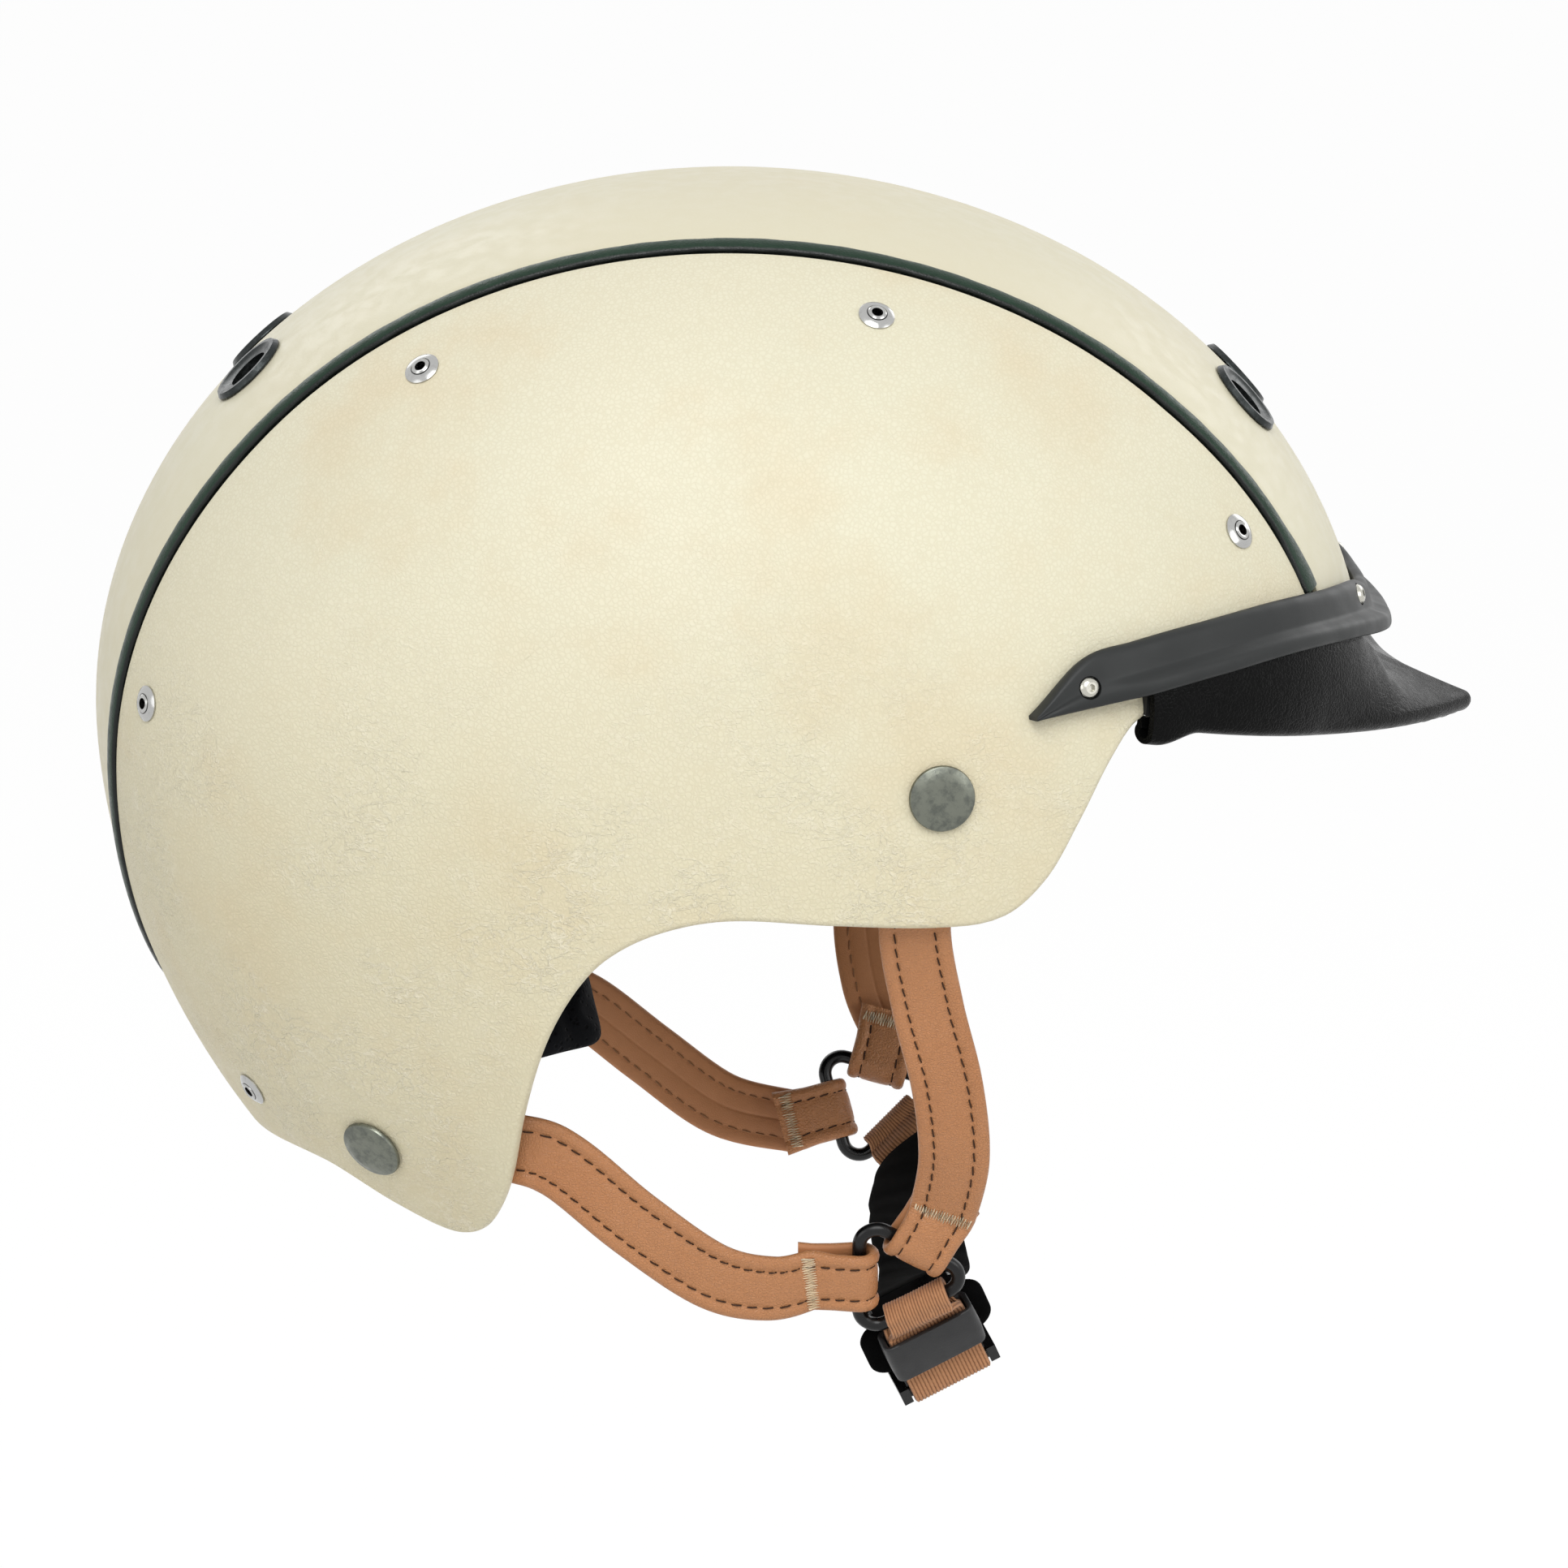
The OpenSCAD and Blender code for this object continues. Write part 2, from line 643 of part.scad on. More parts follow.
module edge_piping() {
    one_side = [
        for (a = crown_angles) if (a > 10 && a < crown_end) crown_point(a, crown_half(a), even(0))
    ];
    end = crown_point(crown_end, 0, even(0));
    route = concat(
        [for (p = one_side) mirrored(p, right)], [end],
        [for (p = reversed(one_side)) p]
    );
    half = piping_w / 2;
    base = shell_out - 0.3;
    color("darkgreen")
    tube([
        for (k = [0:len(route) - 1])
        let (
            here = route[k],
            n = outward(here),
            along = unit(route[min(k + 1, len(route) - 1)] - route[max(k - 1, 0)]),
            across = unit(cross(n, along))
        )
        [
            here - half * across - base * n,
            here + half * across - base * n,
            here + half * across - 0.1 * n,
            here + 0.7 * half * across + 0.75 * piping_rise * n,
            here + piping_rise * n,
            here - 0.7 * half * across + 0.75 * piping_rise * n,
            here - half * across - 0.1 * n
        ]
    ]);
}

// Vents and eyelets

module grommet() {
    r = grommet_d / 2;
    bore_r = vent_d / 2;
    tube_r = grommet_tube_d / 2;
    rotate_extrude()
    polygon([
        [bore_r, -8], [tube_r, -8], [tube_r, 0.02], [r, 0.02], [r, 0.3],
        [r - 0.6, grommet_h], [r - 1.6, grommet_h], [bore_r + 1.6, grommet_h - 0.5],
        [bore_r, grommet_h - 0.9]
    ]);
}
module front_vent_grommets() { color("dimgray") for (p = front_vents) at_surface(p) grommet(); }
module rear_vent_grommets() { color("dimgray") for (p = rear_vents) at_surface(p) grommet(); }
module eyelet_washers() {
    r = eyelet_d / 2;
    hole_r = eyelet_tube_d / 2 + 0.1;
    color("silver")
    for (p = eyelet_places)
        at_surface(p)
        rotate_extrude()
        polygon([
            [hole_r, 0.02], [r, 0.02], [r, 0.3], [r - 0.9, 0.85], [r - 1.6, 0.95],
            [hole_r + 0.2, 0.5], [hole_r, 0.5]
        ]);
}
module eyelet_rivets() {
    bore_r = eyelet_bore / 2;
    tube_r = eyelet_tube_d / 2;
    clinch = liner_out + clinch_gap;
    color("silver")
    for (p = eyelet_places)
        at_surface(p)
        rotate_extrude()
        polygon([
            [bore_r, -clinch - 0.6], [tube_r + 1, -clinch - 0.6], [tube_r + 1, -clinch],
            [tube_r, -clinch], [tube_r, 0.6], [tube_r + 0.3, 0.85], [tube_r + 0.3, 1.1],
            [tube_r, 1.35], [bore_r, 1.2]
        ]);
}

// Strap anchors

module anchor_caps() {
    r = cap_d / 2;
    stud_r = post_d / 2 + 0.05;
    color("slategray")
    for (p = anchor_places)
        at_surface(p)
        rotate_extrude()
        polygon([
            [0, cap_h - 0.2], [r - 2.2, cap_h - 0.35], [r - 1.2, cap_h - 0.75],
            [r - 0.5, cap_h - 0.95], [r - 0.15, cap_h - 1.1], [r, cap_h - 1.5],
            [r, 0.4], [r - 0.4, 0.02], [stud_r, 0.02], [stud_r, 1.05], [0, 1.05]
        ]);
}
// Height of a back washer's lower face under the outer surface
washer_low = -strap_depth - strap_t / 2 - 0.6 - back_washer_t;
module anchor_posts() {
    color("lightsteelblue")
    for (p = anchor_places)
        at_surface(p) {
            hole(post_d, washer_low - 0.3, 1);
            hole(post_d + 2.4, washer_low - 0.7, washer_low - 0.1);
        }
}
module anchor_washers() {
    color("silver")
    for (p = anchor_places)
        at_surface(p)
        difference() {
            hole(back_washer_d, washer_low, washer_low + back_washer_t);
            hole(post_d + hole_gap, -20, 5);
        }
}

// Peak and its holder

function holder_top(a) = curve(holder_keys, abs(a), 1);
function holder_bottom(a) = curve(holder_keys, abs(a), 2);
module peak_holder() {
    azimuths = concat(
        [-58, -56, -54, -52, -49.5, -46.5], [for (a = [-42:4:-14]) a],
        [-11, -8.5, -6, -3, 0, 3, 6, 8.5, 11], [for (a = [14:4:42]) a],
        [46.5, 49.5, 52, 54, 56, 58]
    );
    function section(a) =
        let (
            top = holder_top(a),
            low = holder_bottom(a),
            h = top - low,
            tip = min(1, h / 8),
            lip = mix(holder_t, holder_lip, soft_step((52 - abs(a)) / 5)),
            rebate = mix(0.45, peak_root_out + 0.3, soft_step((50.5 - abs(a)) / 3.5))
        )
        [
            [0.35, top - 0.08 * h], [0.6 * holder_t, top],
            [holder_t - 0.2, top - 0.18 * h], [holder_t - 0.1, top - 0.5 * h],
            [lip, low + 0.28 * h], [lip - 0.1, low + 0.1 * h], [lip - 1.1, low],
            [rebate + 0.1, low + 0.02 * h], [rebate, low + 0.42 * tip * h],
            [0.35, low + 0.48 * h]
        ];
    color("darkslategray")
    difference() {
        tube([
            for (a = azimuths)
            [for (q = section(a)) level_point(a, q[1], q[0])]
        ]);
        for (p = screw_places) at_surface(p) {
            hole(screw_d + 0.3, -2, 8);
            hole(screw_head_d + 0.5, holder_t - 0.8, 8);
        }
    }
}
module holder_screws() {
    seat = holder_t - 0.75;
    color("gainsboro")
    for (p = screw_places)
        at_surface(p)
        difference() {
            union() {
                rotate_extrude()
                polygon([
                    [0, seat], [screw_head_d / 2, seat], [screw_head_d / 2, seat + 0.5],
                    [screw_head_d / 2 - 0.45, seat + 1.1], [screw_head_d / 2 - 1, seat + 1.4],
                    [0, seat + 1.4]
                ]);
                hole(screw_d, -shell_in - 4, seat + 0.1);
            }
            translate([0, 0, seat + 0.5])
            cylinder(d = hex_af / cos(30), h = 2, $fn = 6);
        }
}
module holder_nuts() {
    color("goldenrod")
    for (p = screw_places)
        at_surface(p)
        difference() {
            hole(nut_d, -liner_out - 3, -liner_out - 0.3);
            hole(screw_d + 0.06, -20, 5);
        }
}
// The peak's cross section: offset from the shell and height, along t from 0 to 1
function peak_edge_out(a) =
    let (near = max(0, 1 - abs(a) / 25))
    2 + peak_reach * pow(near, 1.6) - 2 * near;
function peak_edge_low(a) = -3.6 + 12.6 * pow(abs(a) / 46, 1.5);
function peak_fall(a) = mix(22, 105, soft_step(abs(a) / 25));
function peak_roll_middle(a) = [peak_edge_out(a) - peak_roll, peak_edge_low(a) + peak_roll];
function peak_root(a) = [curve(peak_root_keys, abs(a), 1), curve(peak_root_keys, abs(a), 2)];
function peak_curve(a, t) =
    let (
        fall = peak_fall(a),
        end = peak_roll_middle(a) + peak_roll * [sin(fall), cos(fall)],
        start = peak_root(a),
        middle = end - 0.45 * norm(end - start) * [cos(fall), -sin(fall)]
    )
    (1 - t) * (1 - t) * start + 2 * t * (1 - t) * middle + t * t * end;
function peak_normal(a, t) =
    let (d = unit(peak_curve(a, min(1, t + 0.02)) - peak_curve(a, max(0, t - 0.02))))
    [-d[1], d[0]];
// A layer between two depths under the peak's upper surface
function peak_layer(a, from, to, top, bottom, steps) = [
    for (k = [0:steps])
    let (t = mix(from, to, k / steps))
    peak_curve(a, t) - top * peak_normal(a, t),
    for (k = [steps:-1:0])
    let (t = mix(from, to, k / steps))
    peak_curve(a, t) - bottom * peak_normal(a, t)
];
peak_azimuths = [
    for (s = [-1, 1], a = s < 0 ? [peak_span, 42, 38, 34, 30, 26, 22, 18, 15, 12, 9, 6, 3]
        : [0, 3, 6, 9, 12, 15, 18, 22, 26, 30, 34, 38, 42, peak_span])
    s * a
];
module peak_sweep(sections) {
    tube([
        for (k = [0:len(peak_azimuths) - 1])
        [for (q = sections[k]) level_point(peak_azimuths[k], q[1], q[0])]
    ]);
}
board_top = peak_leather_t + 0.4;
board_low = board_top + peak_board_t;
module peak_board() {
    color("tan")
    peak_sweep([for (a = peak_azimuths) peak_layer(a, 0, 0.93, board_top, board_low, 4)]);
}
module peak_top_leather() {
    // Leather laid over the board and rolled round its edge
    function section(a) =
        let (
            from = mix(0.03, 0.26, soft_step((abs(a) - 6) / 8)),
            roll = peak_roll_middle(a),
            first = 90 - peak_fall(a),
            inner = peak_roll - peak_leather_t
        )
        concat(
            [for (k = [0:4]) peak_curve(a, mix(from, 1, k / 4))],
            [for (b = [45, 90, 135, 180]) roll + peak_roll * [cos(first - b), sin(first - b)]],
            [for (b = [180, 135, 90, 45]) roll + inner * [cos(first - b), sin(first - b)]],
            [
                for (k = [4:-1:0])
                let (t = mix(from, 1, k / 4))
                peak_curve(a, t) - peak_leather_t * peak_normal(a, t)
            ]
        );
    color("black")
    peak_sweep([for (a = peak_azimuths) section(a)]);
}
module peak_under_leather() {
    low = board_low + 0.3;
    function from(a) = mix(0.2, 0.78, soft_step((abs(a) - 5) / 9));
    color("dimgray")
    peak_sweep([
        for (a = peak_azimuths) peak_layer(a, from(a), 0.9, low, low + peak_leather_t, 3)
    ]);
}

// Straps and rings

// Middle of each strap ring, the lean of its plane and its turn in that plane
function ring_middle(side) = side < 0 ? [36, -68.5, -113.5] : [31.4, 68.5, -107.8];
ring_lean = 15;
function ring_turn(side) = side < 0 ? 0 : 15;
function ring_up(side) = [0, side * sin(ring_lean), cos(ring_lean)];
function ring_out(side) = [0, side * cos(ring_lean), -sin(ring_lean)];
// Direction from a ring's middle to one of its sides, at an angle in its plane
function ring_way(side, angle) =
    let (turned = angle + ring_turn(side))
    cos(turned) * [1, 0, 0] + sin(turned) * ring_up(side);
function ring_along(side, angle) = ring_way(side, angle - 90) * -1;
function ring_bar(side, angle) = ring_middle(side) + ring_in_r * ring_way(side, angle);
front_side = 60;
rear_side = 180;
chin_side = 300;

function strap_seat(anchor) = anchor - strap_depth * outward(anchor);
// Direction in which a strap leaves its anchor, and its width direction there
function strap_away(anchor, exit) = square_to(exit - strap_seat(anchor), outward(anchor));
function strap_across(anchor, exit, wide) =
    let (w = cross(strap_away(anchor, exit), outward(anchor)))
    w * wide < 0 ? -w : w;
// Where each strap leaves the liner, from its anchor's place in the side view
front_exit_shift = [-4.2, -28.1];
rear_exit_shift = [28, -1.6];
function front_exit(side) =
    let (
        p = side_point(
            front_anchor_x + front_exit_shift[0], front_anchor_z + front_exit_shift[1],
            even(0), side
        )
    )
    p - strap_depth * outward(p);
function rear_exit(side) =
    let (
        p = side_point(
            rear_anchor_x + rear_exit_shift[0], rear_anchor_z + rear_exit_shift[1],
            even(0), side
        )
    )
    p - strap_depth * outward(p) - [0, side * 1.5, 0];
function rear_wide(side) = square_to([0, 0, 1], unit(rear_exit(side) - rear_anchor(side)));
// A strap's path: in the liner, along a bowed free stretch, and round its ring's side
function strap_path(side, anchor, exit, wide, angle, bows) =
    let (
        bar = ring_bar(side, angle),
        way = ring_way(side, angle),
        out = ring_out(side),
        bar_wide = cross(way, out),
        turn_wide = bar_wide * wide < 0 ? -bar_wide : bar_wide,
        r = ring_wire_d / 2 + 0.35 + strap_t / 2,
        near = strap_t / 2 + 0.2,
        join = bar + 10 * way,
        folded = bar + 5.5 * way,
        joined_w = mix(strap_ring_w, strap_w, 0.6),
        free = [
            for (b = bows)
            [mix(exit, join, b[0]) + [b[1], side * b[2], b[3]], mix(wide, turn_wide, b[0]),
                strap_w]
        ],
        seat = strap_seat(anchor),
        away = strap_away(anchor, exit),
        across = strap_across(anchor, exit, wide)
    )
    concat(
        [[seat - 9 * away, across, strap_w], [seat, across, strap_w]],
        spline(concat([[seat + 8 * away, across, strap_w], [exit, wide, strap_w]], free,
            [[join + near * out, turn_wide, joined_w]]), 3),
        [[folded + mix(near, r, 0.6) * out, turn_wide, strap_ring_w]],
        [
            for (b = [0:36:180])
            [bar + r * (cos(b) * out - sin(b) * way), turn_wide, strap_ring_w]
        ],
        [[folded - mix(near, r, 0.6) * out, turn_wide, strap_ring_w],
            [join - near * out, turn_wide, joined_w],
            [bar + fold_l * way - near * out, turn_wide, strap_w]]
    );
// Bows of a strap's free stretch: a share of it, and shifts forwards, outwards and up
function front_bows(side) = side < 0
    ? [[0.28, 1, 1, 0], [0.55, 3.6, 3.2, 0], [0.8, 3.6, 3.8, 0]]
    : [[0.3, -4, 0.5, 0], [0.6, -6.5, 0.5, 0], [0.85, -4, 0.5, 0]];
function rear_bows(side) = side < 0
    ? [[0.16, 0, 1, 1], [0.4, 0, 2.4, -4.5], [0.66, 0, 3, -8.5], [0.86, 0, 2, -6]]
    : [[0.18, 0, 1, 1.5], [0.44, 0, 2.4, -2.5], [0.72, 0, 2.4, -5.5]];
function front_strap_path(side) = strap_path(
    side, front_anchor(side), front_exit(side), [1, 0, 0], front_side, front_bows(side)
);
function rear_strap_path(side) = strap_path(
    side, rear_anchor(side), rear_exit(side), rear_wide(side), rear_side, rear_bows(side)
);
module strap(path, anchor) {
    color("peru")
    difference() {
        tube(strap_rings(path, strap_t));
        at_surface(anchor) hole(post_d + hole_gap, -strap_depth - 4, -strap_depth + 4);
    }
}
module front_strap_right() { strap(front_strap_path(right), front_anchor(right)); }
module front_strap_left() { strap(front_strap_path(left), front_anchor(left)); }
module rear_strap_right() { strap(rear_strap_path(right), rear_anchor(right)); }
module rear_strap_left() { strap(rear_strap_path(left), rear_anchor(left)); }
// A rounded wire triangle in the plane of x and z
module wire_triangle() {
    corner_at = 2 * (ring_in_r - ring_corner_r);
    sections = 8;
    hoop([
        for (k = [0:2], b = [-60:30:60])
        let (
            corner = 120 * k,
            way = [cos(corner + b), 0, sin(corner + b)],
            middle = corner_at * [cos(corner), 0, sin(corner)] + ring_corner_r * way
        )
        [
            for (j = [0:sections - 1])
            let (c = 360 * j / sections)
            middle + ring_wire_d / 2 * (cos(c) * way + [0, sin(c), 0])
        ]
    ]);
}
module strap_ring(side) {
    color("dimgray")
    translate(ring_middle(side))
    rotate([-side * ring_lean, 0, 0])
    rotate([0, -ring_turn(side), 0])
    wire_triangle();
}
module strap_ring_right() { strap_ring(right); }
module strap_ring_left() { strap_ring(left); }

// Chin webbing, keeper and buckle, in a frame on the right ring's lower side
buckle_origin = ring_bar(right, chin_side);
buckle_down = unit([0.3, 0.55, -0.78]);
buckle_x = square_to([0.885, 0.13, 0.435], buckle_down);
module in_buckle() {
    in_frame(buckle_origin, buckle_x, -buckle_down) children();
}
buckle_bar_d = 2.4;
buckle_bar_at = -23;
// A band of webbing round two bars, each given as its middle, direction and radius
module webbing_band(top, top_wide, top_r, bottom, bottom_wide, bottom_r) {
    down = unit(bottom - top);
    long = norm(bottom - top);
    near = webbing_t / 2 + 0.2;
    top_out = unit(cross(top_wide, down));
    bottom_out = unit(cross(bottom_wide, down));
    top_turn = top_r + webbing_t / 2;
    bottom_turn = bottom_r + webbing_t / 2;
    function layer(z, s) =
        let (t = min(1, z / 5), out = unit(mix(top_out, bottom_out, t)))
        [top + z * down + s * near * out, mix(top_wide, bottom_wide, t),
            mix(webbing_ring_w, webbing_w, t)];
    first = min(4.5, 0.45 * long);
    wrap = 1.8;
    last = long - min(5, 0.4 * long);
    steps = [for (k = [0:3]) mix(first, last, k / 3)];
    hoop(strap_rings(concat(
        [
            for (b = [-90:30:90])
            [top + top_turn * (sin(b) * top_out - cos(b) * down), top_wide, webbing_ring_w]
        ],
        [[top + wrap * down + top_turn * top_out, top_wide, webbing_ring_w]],
        [for (z = steps) layer(z, 1)],
        [
            for (b = [90:-30:-90])
            [bottom + bottom_turn * (sin(b) * bottom_out + cos(b) * down), bottom_wide,
                webbing_w]
        ],
        [for (z = reversed(steps)) layer(z, -1)],
        [[top + wrap * down - top_turn * top_out, top_wide, webbing_ring_w]]
    ), webbing_t, true));
}
module chin_webbing_right() {
    color("tan")
    webbing_band(
        buckle_origin, ring_along(right, chin_side), ring_wire_d / 2 + 0.5,
        buckle_origin - buckle_bar_at * buckle_down, buckle_x, buckle_bar_d / 2 + 0.35
    );
}
module strap_keeper() {
    x = webbing_w / 2 + keeper_gap;
    y = webbing_t + 0.2 + keeper_gap;
    color("black")
    in_buckle()
    translate([0, 0, keeper_top - keeper_l])
    linear_extrude(height = keeper_l)
    difference() {
        offset_box(x + keeper_wall, y + keeper_wall, keeper_wall);
        offset_box(x, y, 0.4);
    }
}
// A rectangle with rounded corners, given half its width and height
module offset_box(x, y, r) {
    for (i = [-1, 1], j = [-1, 1])
        translate([i * (x - r), j * (y - r)]) circle(r = r, $fn = 24);
    square([2 * x, 2 * (y - r)], center = true);
    square([2 * (x - r), 2 * y], center = true);
}
keeper_top = -5;
chin_pad_y = webbing_t + 0.2 + keeper_gap + keeper_wall + 0.3;
module chin_pad() {
    color("black")
    in_buckle()
    rounded_plate(
        chin_pad_w, keeper_top - keeper_l - 3.6, keeper_top + 1.2, chin_pad_y,
        chin_pad_y + chin_pad_t, 5
    );
}
plate_y = chin_pad_y + chin_pad_t + 0.3;
plate_top = -6;
plate_low = plate_top - buckle_l;
tongue_y = plate_y + buckle_t + buckle_gap;
rail_w = 2.4;
magnet_x = 5.5;
// A flat plate in the x and z plane with rounded corners
module rounded_plate(w, from_z, to_z, from_y, to_y, r) {
    translate([0, to_y, (from_z + to_z) / 2])
    rotate([90, 0, 0])
    linear_extrude(height = to_y - from_y)
    offset_box(w / 2, (to_z - from_z) / 2, r);
}
module buckle_body() {
    lug_x = webbing_w / 2 + 0.4;
    color("black")
    in_buckle()
    difference() {
        union() {
            rounded_plate(buckle_w, plate_low, plate_top, plate_y, plate_y + buckle_t, 3);
            translate([-buckle_w / 2 + 0.6, 0, buckle_bar_at])
            rotate([0, 90, 0])
            cylinder(d = buckle_bar_d, h = buckle_w - 1.2);
            for (s = both)
                translate([s > 0 ? lug_x : -buckle_w / 2, -buckle_bar_d / 2, buckle_bar_at - 2.2])
                cube([buckle_w / 2 - lug_x, plate_y + buckle_bar_d / 2 + 1, 4.4]);
            for (z = [plate_top - rail_w, plate_low])
                translate([-buckle_w / 2 + 2.5, plate_y + buckle_t - 0.1, z])
                cube([buckle_w - 5, tongue_t - 0.6, rail_w]);
            // End that stops the tongue
            translate([-buckle_w / 2, plate_y + buckle_t - 0.1, plate_low + 3])
            cube([1.5 - buckle_gap, tongue_t - 0.6, buckle_l - 6]);
        }
        for (s = both)
            translate([s * magnet_x, plate_y + buckle_t + 0.1, (plate_top + plate_low) / 2])
            rotate([90, 0, 0])
            cylinder(d = magnet_d + 0.1, h = magnet_t + 0.15);
    }
}
module buckle_body_magnets() {
    color("silver")
    in_buckle()
    for (s = both)
        translate([s * magnet_x, plate_y + buckle_t - 0.02, (plate_top + plate_low) / 2])
        rotate([90, 0, 0])
        cylinder(d = magnet_d, h = magnet_t);
}
module buckle_tongue() {
    low = plate_low + rail_w + buckle_gap;
    top = plate_top - rail_w - buckle_gap;
    color("darkslategray")
    in_buckle()
    difference() {
        rounded_plate(buckle_w - 3, low, top, tongue_y, tongue_y + tongue_t, 2);
        for (s = both)
            translate([s * magnet_x, tongue_y + magnet_t + 0.05, (plate_top + plate_low) / 2])
            rotate([90, 0, 0])
            cylinder(d = magnet_d + 0.1, h = magnet_t + 0.15);
    }
}
module buckle_tongue_magnets() {
    color("silver")
    in_buckle()
    for (s = both)
        translate([s * magnet_x, tongue_y + magnet_t + 0.02, (plate_top + plate_low) / 2])
        rotate([90, 0, 0])
        cylinder(d = magnet_d, h = magnet_t);
}
// Chin sleeve from the tongue's back, under the chin, to the left webbing
buckle_in = cross(-buckle_down, buckle_x);
sleeve_start = buckle_origin + (tongue_y + tongue_t + 0.35) * buckle_in
    + (plate_top + plate_low) / 2 * -buckle_down;
left_origin = ring_bar(left, chin_side);
left_x = ring_along(left, chin_side);
left_down = square_to([0.2, -0.93, -0.3], left_x);
left_loop_l = 7;
sleeve_end = left_origin + (left_loop_l + 3.2) * left_down;
module chin_webbing_left() {
    color("tan")
    webbing_band(
        left_origin, ring_along(left, chin_side), ring_wire_d / 2 + 0.35,
        left_origin + left_loop_l * left_down, left_x, 0.4
    );
}
module chin_sleeve() {
    path = concat(
        [[sleeve_start, buckle_x, sleeve_w], [sleeve_start + 3.5 * buckle_in, buckle_x, sleeve_w]],
        spline([
            [sleeve_start + 7 * buckle_in, buckle_x, sleeve_w],
            [[42.5, -18, -126], [0.99, 0, 0.15], sleeve_w],
            [[41, 10, -123.3], [0.98, 0, 0.2], sleeve_w],
            [[40.5, 34, -120.8], [0.94, 0, 0.34], sleeve_w],
            [sleeve_end + left_down, left_x, sleeve_w]
        ], 3),
        [[sleeve_end, left_x, sleeve_w]]
    );
    color("black")
    tube(strap_rings(path, sleeve_t));
}

// Fit ring: a cradle behind the head and two arms that a dial draws together

// Radius to the inside of the right arm, and a peg's reach from the inside of the left one
arm_r = half_width - liner_depth[4] - arm_inset;
peg_reach = arm_inset - peg_short;
// Middle of the fit ring, behind and below the origin so that it lies on the liner
fit_middle = [
    -rear_reach + liner_depth[1] + fit_ahead + arm_r * cos(fit_tilt), 0,
    -fit_drop
];
pinion_teeth = 10;
pitch_r = tooth_module * pinion_teeth / 2;
right_r = arm_r;
left_r = arm_r + arm_t + arm_gap;
arms_out_r = left_r + arm_t;
cradle_t = 2;
cradle_in_r = arm_r - arm_gap - cradle_t;
cover_r = arms_out_r + arm_gap;
cover_wall = 1.8;
cradle_half = 31;
cradle_half_h = arm_h / 2 + cradle_t + arm_gap;
window_low = pitch_r + 1.5 * tooth_module;
window_top = pitch_r + 1.1 * tooth_module;
// Angle of the pegs from straight back, the room past them in a slot and an arm's end
peg_angle = 80;
slot_room = 2.2;
arm_end = peg_angle + arm_travel + slot_room + 3.5;
boss_h = 2.6;
dial_front = cover_r + boss_h + 0.5;
dial_screw_d = 2;
axle_end_d = 3.08;
module in_fit() {
    translate(fit_middle)
    rotate([0, -fit_tilt, 0])
    children();
}
// An arc wall about the ring's axis, between two angles from straight back
module arc_wall(r_in, r_out, low, high, from, to) {
    rotate([0, 0, 180 + from])
    rotate_extrude(angle = to - from, $fn = 96)
    translate([r_in, low])
    square([r_out - r_in, high - low]);
}
// Puts a child's z axis along the outward radius at an angle from straight back
module on_arc(angle, r, z = 0) {
    rotate([0, 0, 180 + angle])
    translate([r, 0, z])
    rotate([0, 90, 0])
    children();
}
module arm_peg_place(side) {
    on_arc(-side * peg_angle, left_r) children();
}
module arm(side) {
    r = side < 0 ? right_r : left_r;
    mean_r = r + arm_t / 2;
    // Angles grow towards the arm's front end
    turn = -side;
    edge = side;
    pitch_angle = 180 * tooth_module / mean_r;
    arm_start = -10;
    window_from = -6.5;
    window_to = arm_travel - window_from;
    slot_from = peg_angle - slot_room;
    slot_to = peg_angle + arm_travel + slot_room;
    half = arm_h / 2;
    top = edge > 0 ? window_top : window_low;
    bottom = edge > 0 ? -window_low : -window_top;
    slot_half = peg_d / 2 + 0.25;
    module stretch(r_in, r_out, a, b, low, high) {
        arc_wall(r_in, r_out, low, high, turn > 0 ? a : -b, turn > 0 ? b : -a);
    }
    module cut(a, b, low, high) {
        stretch(r - 1, r + arm_t + 1, a, b, low, high);
    }
    difference() {
        stretch(r, r + arm_t, arm_start, arm_end, -half, half);
        cut(window_from, window_to, bottom, top);
        cut(slot_from, slot_to, -slot_half, slot_half);
        cut(slot_from - 3, arm_end + 1, half - 2, half + 1);
        cut(slot_from - 3, arm_end + 1, -half - 1, -half + 2);
    }
    // Rack teeth on one edge of the window
    count = floor((window_to - window_from - 1.5) / pitch_angle);
    first = -floor(5.6 / pitch_angle) + 0.5;
    for (k = [0:count - 1]) {
        a = (first + k) * pitch_angle;
        if (a < window_to - 0.8)
            on_arc(turn * a, r + 0.03)
            rotate([0, 0, 180])
            linear_extrude(height = arm_t - 0.06)
            rack_tooth(edge);
    }
}
